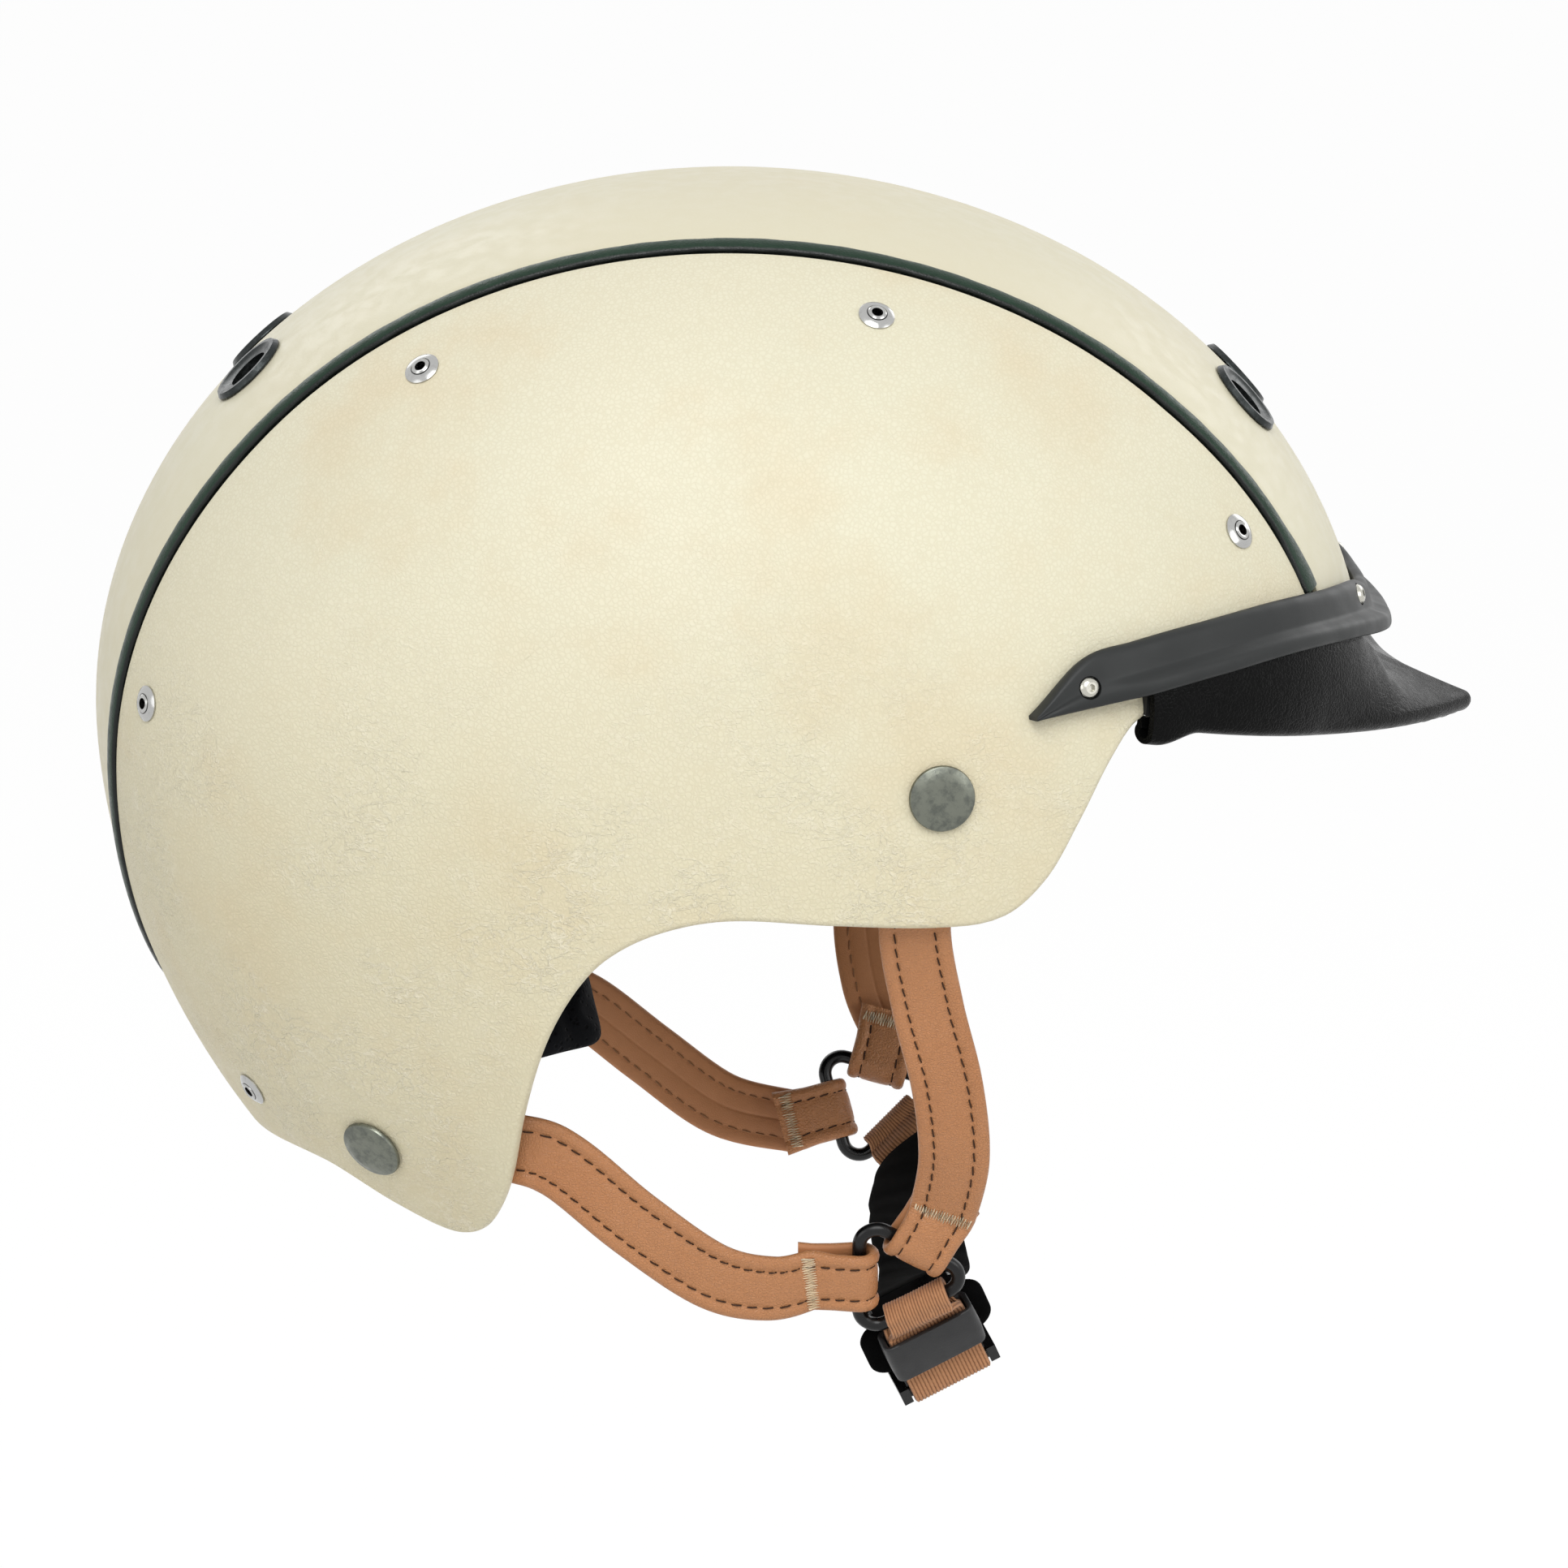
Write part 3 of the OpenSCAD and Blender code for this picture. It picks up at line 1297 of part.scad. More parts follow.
// A rack tooth, pointing at the pinion from the side that edge says
module rack_tooth(edge) {
    m = tooth_module;
    polygon([
        [edge * (window_top + 0.5), -0.95 * m], [edge * (pitch_r - 0.75 * m), -0.36 * m],
        [edge * (pitch_r - 0.75 * m), 0.36 * m], [edge * (window_top + 0.5), 0.95 * m]
    ]);
}
module fit_arm_right() { color("dimgray") in_fit() arm(right); }
module fit_arm_left() { color("dimgray") in_fit() arm(left); }
module cradle_screw_places() {
    for (a = [-26, 26], z = [-1, 1])
        on_arc(a, cover_r, z * (cradle_half_h - 1.2)) children();
}
module fit_cradle() {
    h = cradle_half_h;
    outer_r = cover_r - 0.05;
    color("dimgray")
    in_fit()
    difference() {
        union() {
            arc_wall(cradle_in_r, cradle_in_r + cradle_t, -h, h, -cradle_half, cradle_half);
            arc_wall(cradle_in_r, outer_r, h - cradle_t, h, -cradle_half, cradle_half);
            arc_wall(cradle_in_r, outer_r, -h, cradle_t - h, -cradle_half, cradle_half);
        }
        on_arc(0, 0) cylinder(r = axle_end_d / 2 + shaft_clear, h = 100);
    }
}
module cradle_cover() {
    h = cradle_half_h;
    color("gray")
    in_fit()
    difference() {
        union() {
            arc_wall(cover_r, cover_r + cover_wall, -h, h, -cradle_half, cradle_half);
            on_arc(0, cover_r + 0.3) cylinder(d = 15, h = boss_h);
        }
        on_arc(0, 0) cylinder(r = shaft_d / 2 + shaft_clear, h = 100);
        cradle_screw_places() hole(1.5, -3, 4);
    }
}
module cradle_screws() {
    color("silver")
    in_fit()
    cradle_screw_places() {
        hole(2.8, cover_wall + 0.1, cover_wall + 1.1);
        hole(1.4, 0.1, cover_wall + 0.2);
    }
}
function pinion_outline() =
    let (m = tooth_module)
    [
        for (k = [0:pinion_teeth - 1])
        let (a = 360 * k / pinion_teeth)
        each [
            for (q = [
                [pitch_r - 1.15 * m, -13.5], [pitch_r, -7.6], [pitch_r + 0.85 * m, -3.2],
                [pitch_r + 0.85 * m, 3.2], [pitch_r, 7.6], [pitch_r - 1.15 * m, 13.5]
            ])
            q[0] * [cos(a + q[1]), sin(a + q[1])]
        ]
    ];
module dial_shaft() {
    color("silver")
    in_fit() {
        on_arc(0, arm_r - 0.35)
        linear_extrude(height = cover_r - arm_r - 0.05)
        polygon(pinion_outline());
        on_arc(0, cradle_in_r + 0.4) cylinder(d = axle_end_d, h = 4);
        difference() {
            on_arc(0, cover_r - 0.5) cylinder(d = shaft_d, h = dial_front + 4 - cover_r + 0.5);
            on_arc(0, dial_front + 0.8) cylinder(d = dial_screw_d + 0.04, h = 4);
        }
    }
}
module dial_knob() {
    grips = 18;
    color("black")
    in_fit()
    on_arc(0, dial_front)
    difference() {
        rotate_extrude()
        polygon([
            [0, 0.3], [dial_d / 2 - 3, 0.3], [dial_d / 2 - 3, 0.1], [dial_d / 2, 0.3],
            [dial_d / 2, dial_t - 1.6], [dial_d / 2 - 1.2, dial_t - 0.4],
            [dial_d / 2 - 3, dial_t], [4.2, dial_t], [4.2, dial_t - 2.2], [0, dial_t - 2.2]
        ]);
        for (k = [0:grips - 1])
            rotate([0, 0, 360 / grips * k])
            translate([dial_d / 2 + 1.2, 0, 1.6])
            cylinder(d = 4.2, h = dial_t, $fn = 24);
        cylinder(d = shaft_d + 0.04, h = 4.1);
        translate([0, 0, -1]) cylinder(d = dial_screw_d + 0.1, h = dial_t + 2);
        translate([0, 0, -0.1])
        difference() {
            cylinder(r = 8.6, h = 2);
            translate([0, 0, -1]) cylinder(r = 5, h = 4);
        }
    }
}
module dial_screw() {
    color("silver")
    in_fit()
    on_arc(0, dial_front) {
        hole(dial_screw_d, 1, dial_t - 2.1);
        difference() {
            hole(4.6, dial_t - 2.15, dial_t - 0.5);
            translate([0, 0, dial_t - 1.4])
            cylinder(d = hex_af / cos(30), h = 2, $fn = 6);
        }
    }
}
module detent_spring() {
    color("silver")
    in_fit()
    on_arc(0, cover_r + 2.95)
    difference() {
        cylinder(r = 8, h = 1.2);
        translate([0, 0, -1]) cylinder(r = 6.8, h = 4);
        translate([0, 0, -1]) cube([10, 10, 4]);
    }
}
module arm_pegs() {
    color("dimgray")
    in_fit()
    for (s = both) {
        arm_inside = s < 0 ? right_r - left_r : 0;
        arm_peg_place(s) {
            hole(peg_d, arm_inside - 0.8, peg_reach);
            hole(peg_d + 4, arm_inside - 1.8, arm_inside - 0.6);
        }
    }
}

// Comfort pads on the liner

// A pillow on the liner between two azimuths and two angles from a pole.
// The pole points up, or to the left when sideways is true.
module pad(az, pol, cols, rows, sideways = false) {
    function swell(i, j) =
        min(1, 2.2 * pow(max(0, sin(180 * i / cols) * sin(180 * j / rows)), 0.5));
    function place(i, j) =
        let (d = direction(mix(az[0], az[1], i / cols), mix(pol[0], pol[1], j / rows)))
        sideways ? [d[0], d[2], d[1]] : d;
    function grid(f) = [
        for (j = [0:rows])
        [
            for (k = [0:cols])
            let (i = sideways ? cols - k : k)
            on_surface(place(i, j), deeper(pad_gap + (f ? 1 + (pad_t - 1) * swell(i, j) : 0)))
        ]
    ];
    sheet(grid(false), grid(true));
}
module forehead_pad() { color("dimgray") pad([-48, 48], [62, 78], 14, 4); }
module crown_pad() { color("dimgray") pad([66, 122], [74, 106], 8, 4, true); }
module side_pad_right() { color("dimgray") pad([-106, -70], [60, 92], 6, 6); }
module side_pad_left() { color("dimgray") pad([70, 106], [60, 92], 6, 6); }
module rear_pad() { color("dimgray") pad([161, 199], [66, 84], 10, 4); }
module nape_pad_right() { color("dimgray") pad([-148, -131], [130.5, 140], 6, 4); }
module nape_pad_left() { color("dimgray") pad([118, 140], [134, 146], 8, 4); }

hard_shell();
foam_liner();
crown_cover();
side_cover_right();
side_cover_left();
edge_piping();
front_vent_grommets();
rear_vent_grommets();
eyelet_washers();
eyelet_rivets();
anchor_caps();
anchor_posts();
anchor_washers();
peak_holder();
holder_screws();
holder_nuts();
peak_board();
peak_top_leather();
peak_under_leather();
front_strap_right();
front_strap_left();
rear_strap_right();
rear_strap_left();
strap_ring_right();
strap_ring_left();
chin_webbing_right();
chin_webbing_left();
chin_sleeve();
strap_keeper();
chin_pad();
buckle_body();
buckle_tongue();
buckle_body_magnets();
buckle_tongue_magnets();
fit_cradle();
cradle_cover();
cradle_screws();
fit_arm_right();
fit_arm_left();
dial_shaft();
dial_knob();
dial_screw();
detent_spring();
arm_pegs();
forehead_pad();
crown_pad();
side_pad_right();
side_pad_left();
nape_pad_right();
nape_pad_left();
rear_pad();
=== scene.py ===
"""Looks of an urban bicycle helmet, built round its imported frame.

Lengths in the geometry are in millimetres and become metres when a mesh is made.
"""
import json
import math

import bmesh
import bpy
import numpy as np
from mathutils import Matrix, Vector

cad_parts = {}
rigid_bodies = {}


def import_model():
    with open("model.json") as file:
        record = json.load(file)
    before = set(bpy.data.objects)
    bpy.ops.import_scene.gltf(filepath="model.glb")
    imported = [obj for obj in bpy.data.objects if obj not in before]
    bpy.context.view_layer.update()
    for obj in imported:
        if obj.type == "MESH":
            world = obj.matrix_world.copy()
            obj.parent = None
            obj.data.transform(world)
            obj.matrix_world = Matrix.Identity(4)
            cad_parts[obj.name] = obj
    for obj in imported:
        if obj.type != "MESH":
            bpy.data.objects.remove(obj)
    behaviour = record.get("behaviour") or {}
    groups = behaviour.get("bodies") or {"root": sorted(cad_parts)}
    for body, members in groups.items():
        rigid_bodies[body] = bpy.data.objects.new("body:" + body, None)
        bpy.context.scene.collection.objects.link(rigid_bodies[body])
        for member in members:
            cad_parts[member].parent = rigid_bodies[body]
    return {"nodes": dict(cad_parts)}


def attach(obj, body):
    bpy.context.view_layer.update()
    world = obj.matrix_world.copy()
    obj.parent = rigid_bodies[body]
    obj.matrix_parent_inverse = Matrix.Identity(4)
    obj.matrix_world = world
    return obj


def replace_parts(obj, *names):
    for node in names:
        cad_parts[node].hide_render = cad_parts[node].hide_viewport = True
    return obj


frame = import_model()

for stray in list(bpy.context.scene.objects):
    if stray.name not in frame["nodes"] and not stray.name.startswith("body:"):
        bpy.data.objects.remove(stray)
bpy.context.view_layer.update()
MM = 0.001
RIGHT = -1
LEFT = 1
BOTH = (RIGHT, LEFT)

# Sizes of the helmet, as the frame has them

FRONT_REACH = 138.5
REAR_REACH = 138.0
TOP_REACH = 114.5
NAPE_REACH = 150.0
HALF_WIDTH = 107.0
FULLNESS = 2.3
NAPE_FULLNESS = 1.85
COVER_T = 1.1
SHELL_OUT = 1.8
LINER_DEPTH = (33.1, 33.1, 27.1, 26.1, 24.1)
CROWN_W = 103.0
CROWN_TURN = 145.0
CROWN_END = 207.0
BROW_NARROWING = 5.3
PIPING_W = 4.6
PIPING_RISE = 1.0
PIPING_GAP = 0.4
PIPING_START = 14.8
PIPING_STEP = 1.2
RIM_KEYS = [
    [0, 17.5], [16, 17.5], [28, 15.5], [42, 14.5], [47, 11], [50, 3], [53, -9],
    [56, -20.5], [60, -28], [66, -29.8], [78, -28.8], [90, -27.6], [98, -30.6],
    [104, -36.6], [108, -44.6], [112, -57], [116, -74], [119, -87], [122, -95.5],
    [126, -101.8], [131, -103.5], [138, -98.8], [147, -91], [162, -89.5], [180, -89.5],
]
HOLDER_KEYS = [
    [0, 26.5, 16.5], [6, 27.3, 17.1], [11, 29.7, 18.2], [20, 31, 20.2],
    [30, 31.4, 20.7], [40, 29.6, 18.6], [47, 27.4, 16.3], [52.5, 24.6, 14.2],
    [58, 13.6, 12.6],
]
HOLDER_T = 3.6
HOLDER_LIP = 4.9
PEAK_SPAN = 46.0
PEAK_REACH = 23.5
PEAK_ROLL = 2.3
PEAK_LEATHER_T = 1.2
PEAK_BOARD_T = 1.2
STRAP_W = 15.0
STRAP_RING_W = 13.4
STRAP_T = 2.4
STRAP_DEPTH = 6.6
STRAP_STEP = 0.9
RING_WIRE_D = 3.0
RING_IN_R = 8.3
RING_CORNER_R = 3.8
RING_LEAN = 15.0
FOLD_L = 13.0
WEBBING_W = 18.0
WEBBING_RING_W = 14.5
LEFT_LOOP_L = 7.0
WEBBING_T = 1.5
WEBBING_RIB = 0.82
SLEEVE_W = 20.0
SLEEVE_T = 4.0
KEEPER_L = 11.0
KEEPER_WALL = 1.3
KEEPER_GAP = 0.4
KEEPER_TOP = -5.0
CHIN_PAD_W = 29.0
CHIN_PAD_T = 1.6
CHIN_PAD_Y = WEBBING_T + 0.2 + KEEPER_GAP + KEEPER_WALL + 0.3
BUCKLE_T = 4.0
TONGUE_T = 3.6
BUCKLE_GAP = 0.35
PAD_T = 6.0
PAD_GAP = 0.85

# Vectors and curves


def unit(v):
    return v / np.linalg.norm(v, axis=-1, keepdims=True)


def mix(a, b, t):
    return a + (b - a) * t


def soft_step(t):
    s = np.clip(t, 0, 1)
    return s * s * (3 - 2 * s)


def cos_d(a):
    return np.cos(np.radians(a))


def sin_d(a):
    return np.sin(np.radians(a))


def square_to(v, axis):
    v, axis = np.asarray(v, float), np.asarray(axis, float)
    return unit(v - np.sum(v * axis, axis=-1, keepdims=True) * axis)


def vec(x, y, z):
    return np.stack(np.broadcast_arrays(np.asarray(x, float), y, z), axis=-1)


def curve(keys, x, column=1):
    """Smooth curve through keys, where column 0 is the place."""
    keys = np.asarray(keys, float)
    x = np.asarray(x, float)
    place, value = keys[:, 0], keys[:, column]
    low = np.maximum(np.arange(len(place)) - 1, 0)
    high = np.minimum(np.arange(len(place)) + 1, len(place) - 1)
    slope = (value[high] - value[low]) / (place[high] - place[low])
    i = np.clip(np.searchsorted(place, x, side="right") - 1, 0, len(place) - 2)
    h = place[i + 1] - place[i]
    t = (x - place[i]) / h
    return (
        value[i] * (2 * t**3 - 3 * t**2 + 1)
        + slope[i] * h * (t**3 - 2 * t**2 + t)
        + value[i + 1] * (3 * t**2 - 2 * t**3)
        + slope[i + 1] * h * (t**3 - t**2)
    )


def spline(points, steps, closed=False):
    """Smooth path through points, with steps pieces between each two."""
    p = np.asarray(points, float)
    n = len(p)
    spans = n if closed else n - 1
    out = []
    for i in range(spans):
        if closed:
            a, b, c, d = (p[(i + k) % n] for k in (-1, 0, 1, 2))
        else:
            a, b, c, d = p[max(i - 1, 0)], p[i], p[i + 1], p[min(i + 2, n - 1)]
        for k in range(steps):
            t = k / steps
            out.append(
                b + (c - a) / 2 * t
                + (2 * a - 5 * b + 4 * c - d) / 2 * t**2
                + (3 * b - a - 3 * c + d) / 2 * t**3
            )
    if not closed:
        out.append(p[-1])
    return np.array(out)


def even_steps(path, step):
    """The same path with points a steady step apart."""
    length = np.concatenate([[0], np.cumsum(np.linalg.norm(np.diff(path[:, :3], axis=0), axis=1))])
    count = max(2, int(round(length[-1] / step)) + 1)
    at = np.linspace(0, length[-1], count)
    return np.stack([np.interp(at, length, path[:, k]) for k in range(path.shape[1])], axis=1)


# The helmet's curved surface


def even(depth):
    return (depth,) * 5


def outline(x, z, depth):
    r = np.maximum(np.hypot(x, z), 1e-9)
    a = np.where(x > 0, FRONT_REACH - depth[0], REAR_REACH - depth[1])
    b = np.where(z > 0, TOP_REACH - depth[2], NAPE_REACH - depth[3])
    p = np.where((x < 0) & (z < 0), NAPE_FULLNESS, 2.0)
    return ((np.abs(x) / r / a) ** p + (np.abs(z) / r / b) ** p) ** (-1 / p)


def share(v, depth):
    r = np.hypot(v[..., 0], v[..., 2])
    return (
        (r / outline(v[..., 0], v[..., 2], depth)) ** FULLNESS
        + (np.abs(v[..., 1]) / (HALF_WIDTH - depth[4])) ** FULLNESS
    ) ** (1 / FULLNESS)


def on_surface(v, depth=even(0.0)):
    return v / share(v, depth)[..., None]


def direction(azimuth, polar):
    return vec(sin_d(polar) * cos_d(azimuth), sin_d(polar) * sin_d(azimuth), cos_d(polar))


def outward(p):
    h = 0.05
    e = even(0.0)
    steps = [vec(h, 0, 0), vec(0, h, 0), vec(0, 0, h)]
    return unit(np.stack([share(p + s, e) - share(p - s, e) for s in steps], axis=-1))


def polar_at(azimuth, height):
    azimuth = np.asarray(azimuth, float)
    low, high = np.full(azimuth.shape, 20.0), np.full(azimuth.shape, 165.0)
    for _ in range(30):
        mid = (low + high) / 2
        above = on_surface(direction(azimuth, mid))[..., 2] > height
        low, high = np.where(above, mid, low), np.where(above, high, mid)
    return (low + high) / 2


def level_point(azimuth, height, offset):
    azimuth, height, offset = np.broadcast_arrays(
        np.asarray(azimuth, float), np.asarray(height, float), np.asarray(offset, float)
    )
    low, high = np.full(azimuth.shape, 40.0), np.full(azimuth.shape, 190.0)
    for _ in range(30):
        mid = (low + high) / 2
        p = vec(mid * cos_d(azimuth), mid * sin_d(azimuth), height)
        outside = share(p, even(-offset)) > 1
        low, high = np.where(outside, low, mid), np.where(outside, mid, high)
    mid = (low + high) / 2
    return vec(mid * cos_d(azimuth), mid * sin_d(azimuth), height)


def side_point(x, z, side, depth=0.0):
    q = np.hypot(x, z) / outline(x, z, even(depth))
    return vec(x, side * (HALF_WIDTH - depth) * (1 - q**FULLNESS) ** (1 / FULLNESS), z)


def crown_point(angle, y, depth=0.0):
    q = (1 - (np.abs(y) / (HALF_WIDTH - depth)) ** FULLNESS) ** (1 / FULLNESS)
    r = q * outline(cos_d(angle), sin_d(angle), even(depth))
    return vec(r * cos_d(angle), y, r * sin_d(angle))


def crown_half(angle, offset=0.0):
    """Half width of the crown band at an angle, widened by an offset."""
    angle = np.asarray(angle, float)
    half = CROWN_W / 2 + offset
    turn = (angle - CROWN_TURN) / (CROWN_END + 0.43 * offset - CROWN_TURN)
    brow = np.maximum(0, 38 - angle) / 30
    rear = half * np.maximum(0, 1 - turn * turn) ** 0.6
    return np.where(angle > CROWN_TURN, rear, half - BROW_NARROWING * brow**1.3)


def rim_polar(azimuth):
    return polar_at(azimuth, curve(RIM_KEYS, azimuth))


# Meshes

MATERIALS = {}


def add_mesh(name, points, faces, materials, body="root", sharp=40, values=None):
    """A named piece from points in millimetres. materials is one or more material names."""
    mesh = bpy.data.meshes.new(name)
    mesh.from_pydata((np.asarray(points, float) * MM).tolist(), [], faces)
    for m in [materials] if isinstance(materials, str) else materials:
        mesh.materials.append(MATERIALS[m])
    for key, data in (values or {}).items():
        mesh.attributes.new(key, "FLOAT", "POINT").data.foreach_set(
            "value", np.asarray(data, np.float32).ravel()
        )
    bm = bmesh.new()
    bm.from_mesh(mesh)
    bmesh.ops.recalc_face_normals(bm, faces=bm.faces)
    bm.to_mesh(mesh)
    bm.free()
    mesh.shade_smooth()
    mesh.set_sharp_from_angle(angle=math.radians(sharp))
    obj = bpy.data.objects.new(name, mesh)
    bpy.context.scene.collection.objects.link(obj)
    if body:
        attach(obj, body)
    return obj


def ring_quads(count, a, b, closed=True):
    i = np.arange(count if closed else count - 1)
    j = (i + 1) % count
    return np.stack([a + i, b + i, b + j, a + j], axis=1).tolist()


def tube_faces(rings, count, start=0, closed=False, caps=True):
    faces = []
    for k in range(rings if closed else rings - 1):
        faces += ring_quads(count, start + k * count, start + (k + 1) % rings * count)
    if caps and not closed:
        faces.append(list(range(start, start + count)))
        last = start + (rings - 1) * count
        faces.append(list(range(last + count - 1, last - 1, -1)))
    return faces


def tube(name, rings, materials, body="root", closed=False, sharp=40, values=None):
    rings = np.asarray(rings, float)
    faces = tube_faces(rings.shape[0], rings.shape[1], closed=closed)
    return add_mesh(name, rings.reshape(-1, 3), faces, materials, body, sharp, values)


def joined(name, parts, materials, body="root", sharp=40):
    """One piece from many small ones, each given as points and faces."""
    points, faces, start = [], [], 0
    for p, f in parts:
        points.append(p)
        faces += [[v + start for v in face] for face in f]
        start += len(p)
    return add_mesh(name, np.concatenate(points), faces, materials, body, sharp)


def ribbon(path, wide, profile, grow=1.0):
    """Rings of a strap along a path, with a profile of across and up, and the strap's up axes."""
    grow = np.broadcast_to(grow, (len(path),))[:, None, None]
    ahead = np.roll(path, -1, axis=0)
    behind = np.roll(path, 1, axis=0)
    ahead[-1], behind[0] = path[-1], path[0]
    along = unit(ahead - behind)
    wide = square_to(wide, along)
    up = np.cross(along, wide)
    rings = (
        path[:, None] + grow * profile[None, :, :1] * wide[:, None]
        + profile[None, :, 1:] * up[:, None]
    )
    return rings, wide, up


def cord_part(points, radius, sides=6):
    """Points and faces of a thread along points."""
    points = np.asarray(points, float)
    along = np.gradient(points, axis=0)
    along = unit(along)
    seed = np.where(np.abs(along[:, :1]) < 0.8, vec(1, 0, 0), vec(0, 1, 0))
    side = square_to(seed, along)
    up = np.cross(along, side)
    turn = np.arange(sides) * 360 / sides
    radius = np.broadcast_to(radius, (len(points),))[:, None, None]
    rings = points[:, None] + radius * (
        cos_d(turn)[None, :, None] * side[:, None] + sin_d(turn)[None, :, None] * up[:, None]
    )
    return rings.reshape(-1, 3), tube_faces(len(points), sides)


def stitch(start, end, lift, radius=0.24):
    """A stitch that dips into the leather at both ends."""
    t = np.array([0.0, 0.12, 0.5, 0.88, 1.0])
    rise = np.array([-0.35, 0.02, 0.14, 0.02, -0.35])
    thick = np.array([0.6, 1.0, 1.0, 1.0, 0.6]) * radius
    points = start + t[:, None] * (end - start) + rise[:, None] * lift
    return cord_part(points, thick)


# Materials


def srgb(r, g, b):
    """Linear colour of a colour given from 0 to 255."""
    c = np.array([r, g, b]) / 255
    low = c / 12.92
    high = ((c + 0.055) / 1.055) ** 2.4
    return tuple(np.where(c < 0.04, low, high)) + (1.0,)


def darker(color, share_of):
    return tuple(c * share_of for c in color[:3]) + (1,)


class Finish:
    """Builds one procedural material."""

    def __init__(self, name, color, rough, metal=0.0, specular=0.5):
        self.material = bpy.data.materials.new(name)
        self.material.use_nodes = True
        self.nodes = self.material.node_tree.nodes
        self.links = self.material.node_tree.links
        self.shader = self.nodes["Principled BSDF"]
        self.shader.inputs["Base Color"].default_value = color
        self.shader.inputs["Roughness"].default_value = rough
        self.shader.inputs["Metallic"].default_value = metal
        self.shader.inputs["Specular IOR Level"].default_value = specular
        self.color = color
        self.height = None
        self.place = self.nodes.new("ShaderNodeTexCoord").outputs["Object"]
        MATERIALS[name] = self.material

    def add(self, kind, inputs=(), **settings):
        node = self.nodes.new("ShaderNode" + kind)
        for key, value in settings.items():
            setattr(node, key, value)
        for key, value in dict(inputs).items():
            if isinstance(value, bpy.types.NodeSocket):
                self.links.new(value, node.inputs[key])
            else:
                node.inputs[key].default_value = value
        return node

    def math(self, operation, a, b=0.0, c=0.0):
        return self.add("Math", {0: a, 1: b, 2: c}, operation=operation).outputs[0]

    def stretched(self, x, y, z):
        return self.add("Mapping", {"Vector": self.place, "Scale": (x, y, z)}).outputs[0]

    def bent(self, size, amount, place=None):
        """The place, pushed about by noise of a size and amount in millimetres."""
        source = place or self.place
        noise = self.add("TexNoise", {"Vector": source, "Scale": 1 / (size * MM), "Detail": 2.0})
        push = self.add(
            "VectorMath", {0: noise.outputs["Color"], 1: (-0.5, -0.5, -0.5)}, operation="ADD"
        )
        push = self.add(
            "VectorMath", {0: push.outputs[0], "Scale": 2 * amount * MM}, operation="SCALE"
        )
        return self.add(
            "VectorMath", {0: source, 1: push.outputs[0]}, operation="ADD"
        ).outputs[0]

    def noise(self, size, detail=2.0, roughness=0.5, place=None):
        return self.add("TexNoise", {
            "Vector": place or self.place, "Scale": 1 / (size * MM), "Detail": detail,
            "Roughness": roughness,
        }).outputs["Fac"]

    def cells(self, size, place=None, feature="DISTANCE_TO_EDGE"):
        return self.add("TexVoronoi", {
            "Vector": place or self.place, "Scale": 1 / (size * MM),
        }, feature=feature).outputs["Distance"]

    def ramp(self, value, low, high, to_low=0.0, to_high=1.0):
        return self.add("MapRange", {
            "Value": value, "From Min": low, "From Max": high, "To Min": to_low,
            "To Max": to_high,
        }, interpolation_type="SMOOTHSTEP").outputs["Result"]

    def value(self, name):
        return self.add("Attribute", attribute_name=name).outputs["Fac"]

    def tint(self, share_of, other):
        """Mixes another colour in."""
        mixer = self.add("Mix", {"Factor": share_of}, data_type="RGBA")
        colours = [s for s in mixer.inputs if s.type == "RGBA"]
        if isinstance(self.color, bpy.types.NodeSocket):
            self.links.new(self.color, colours[0])
        else:
            colours[0].default_value = self.color
        colours[1].default_value = other
        self.color = [s for s in mixer.outputs if s.type == "RGBA"][0]
        self.links.new(self.color, self.shader.inputs["Base Color"])

    def rough(self, value):
        self.links.new(value, self.shader.inputs["Roughness"])

    def shine(self, noise, low, high, start=0.3):
        """Roughness that goes from low to high with a noise."""
        self.rough(self.ramp(self.noise(*noise), start, 0.7, low, high))

    def blotches(self, noise, low, high, most, color):
        """Blotches of another colour where a noise goes from low to high."""
        self.tint(self.ramp(self.noise(*noise), low, high, 0.0, most), color)

    def raise_by(self, value, millimetres):
        step = self.math("MULTIPLY", value, millimetres)
        self.height = step if self.height is None else self.math("ADD", self.height, step)

    def done(self, strength=1.0):
        if self.height is not None:
            bump = self.add(
                "Bump", {"Height": self.height, "Distance": MM, "Strength": strength}
            )
            self.links.new(bump.outputs[0], self.shader.inputs["Normal"])
        return self.material


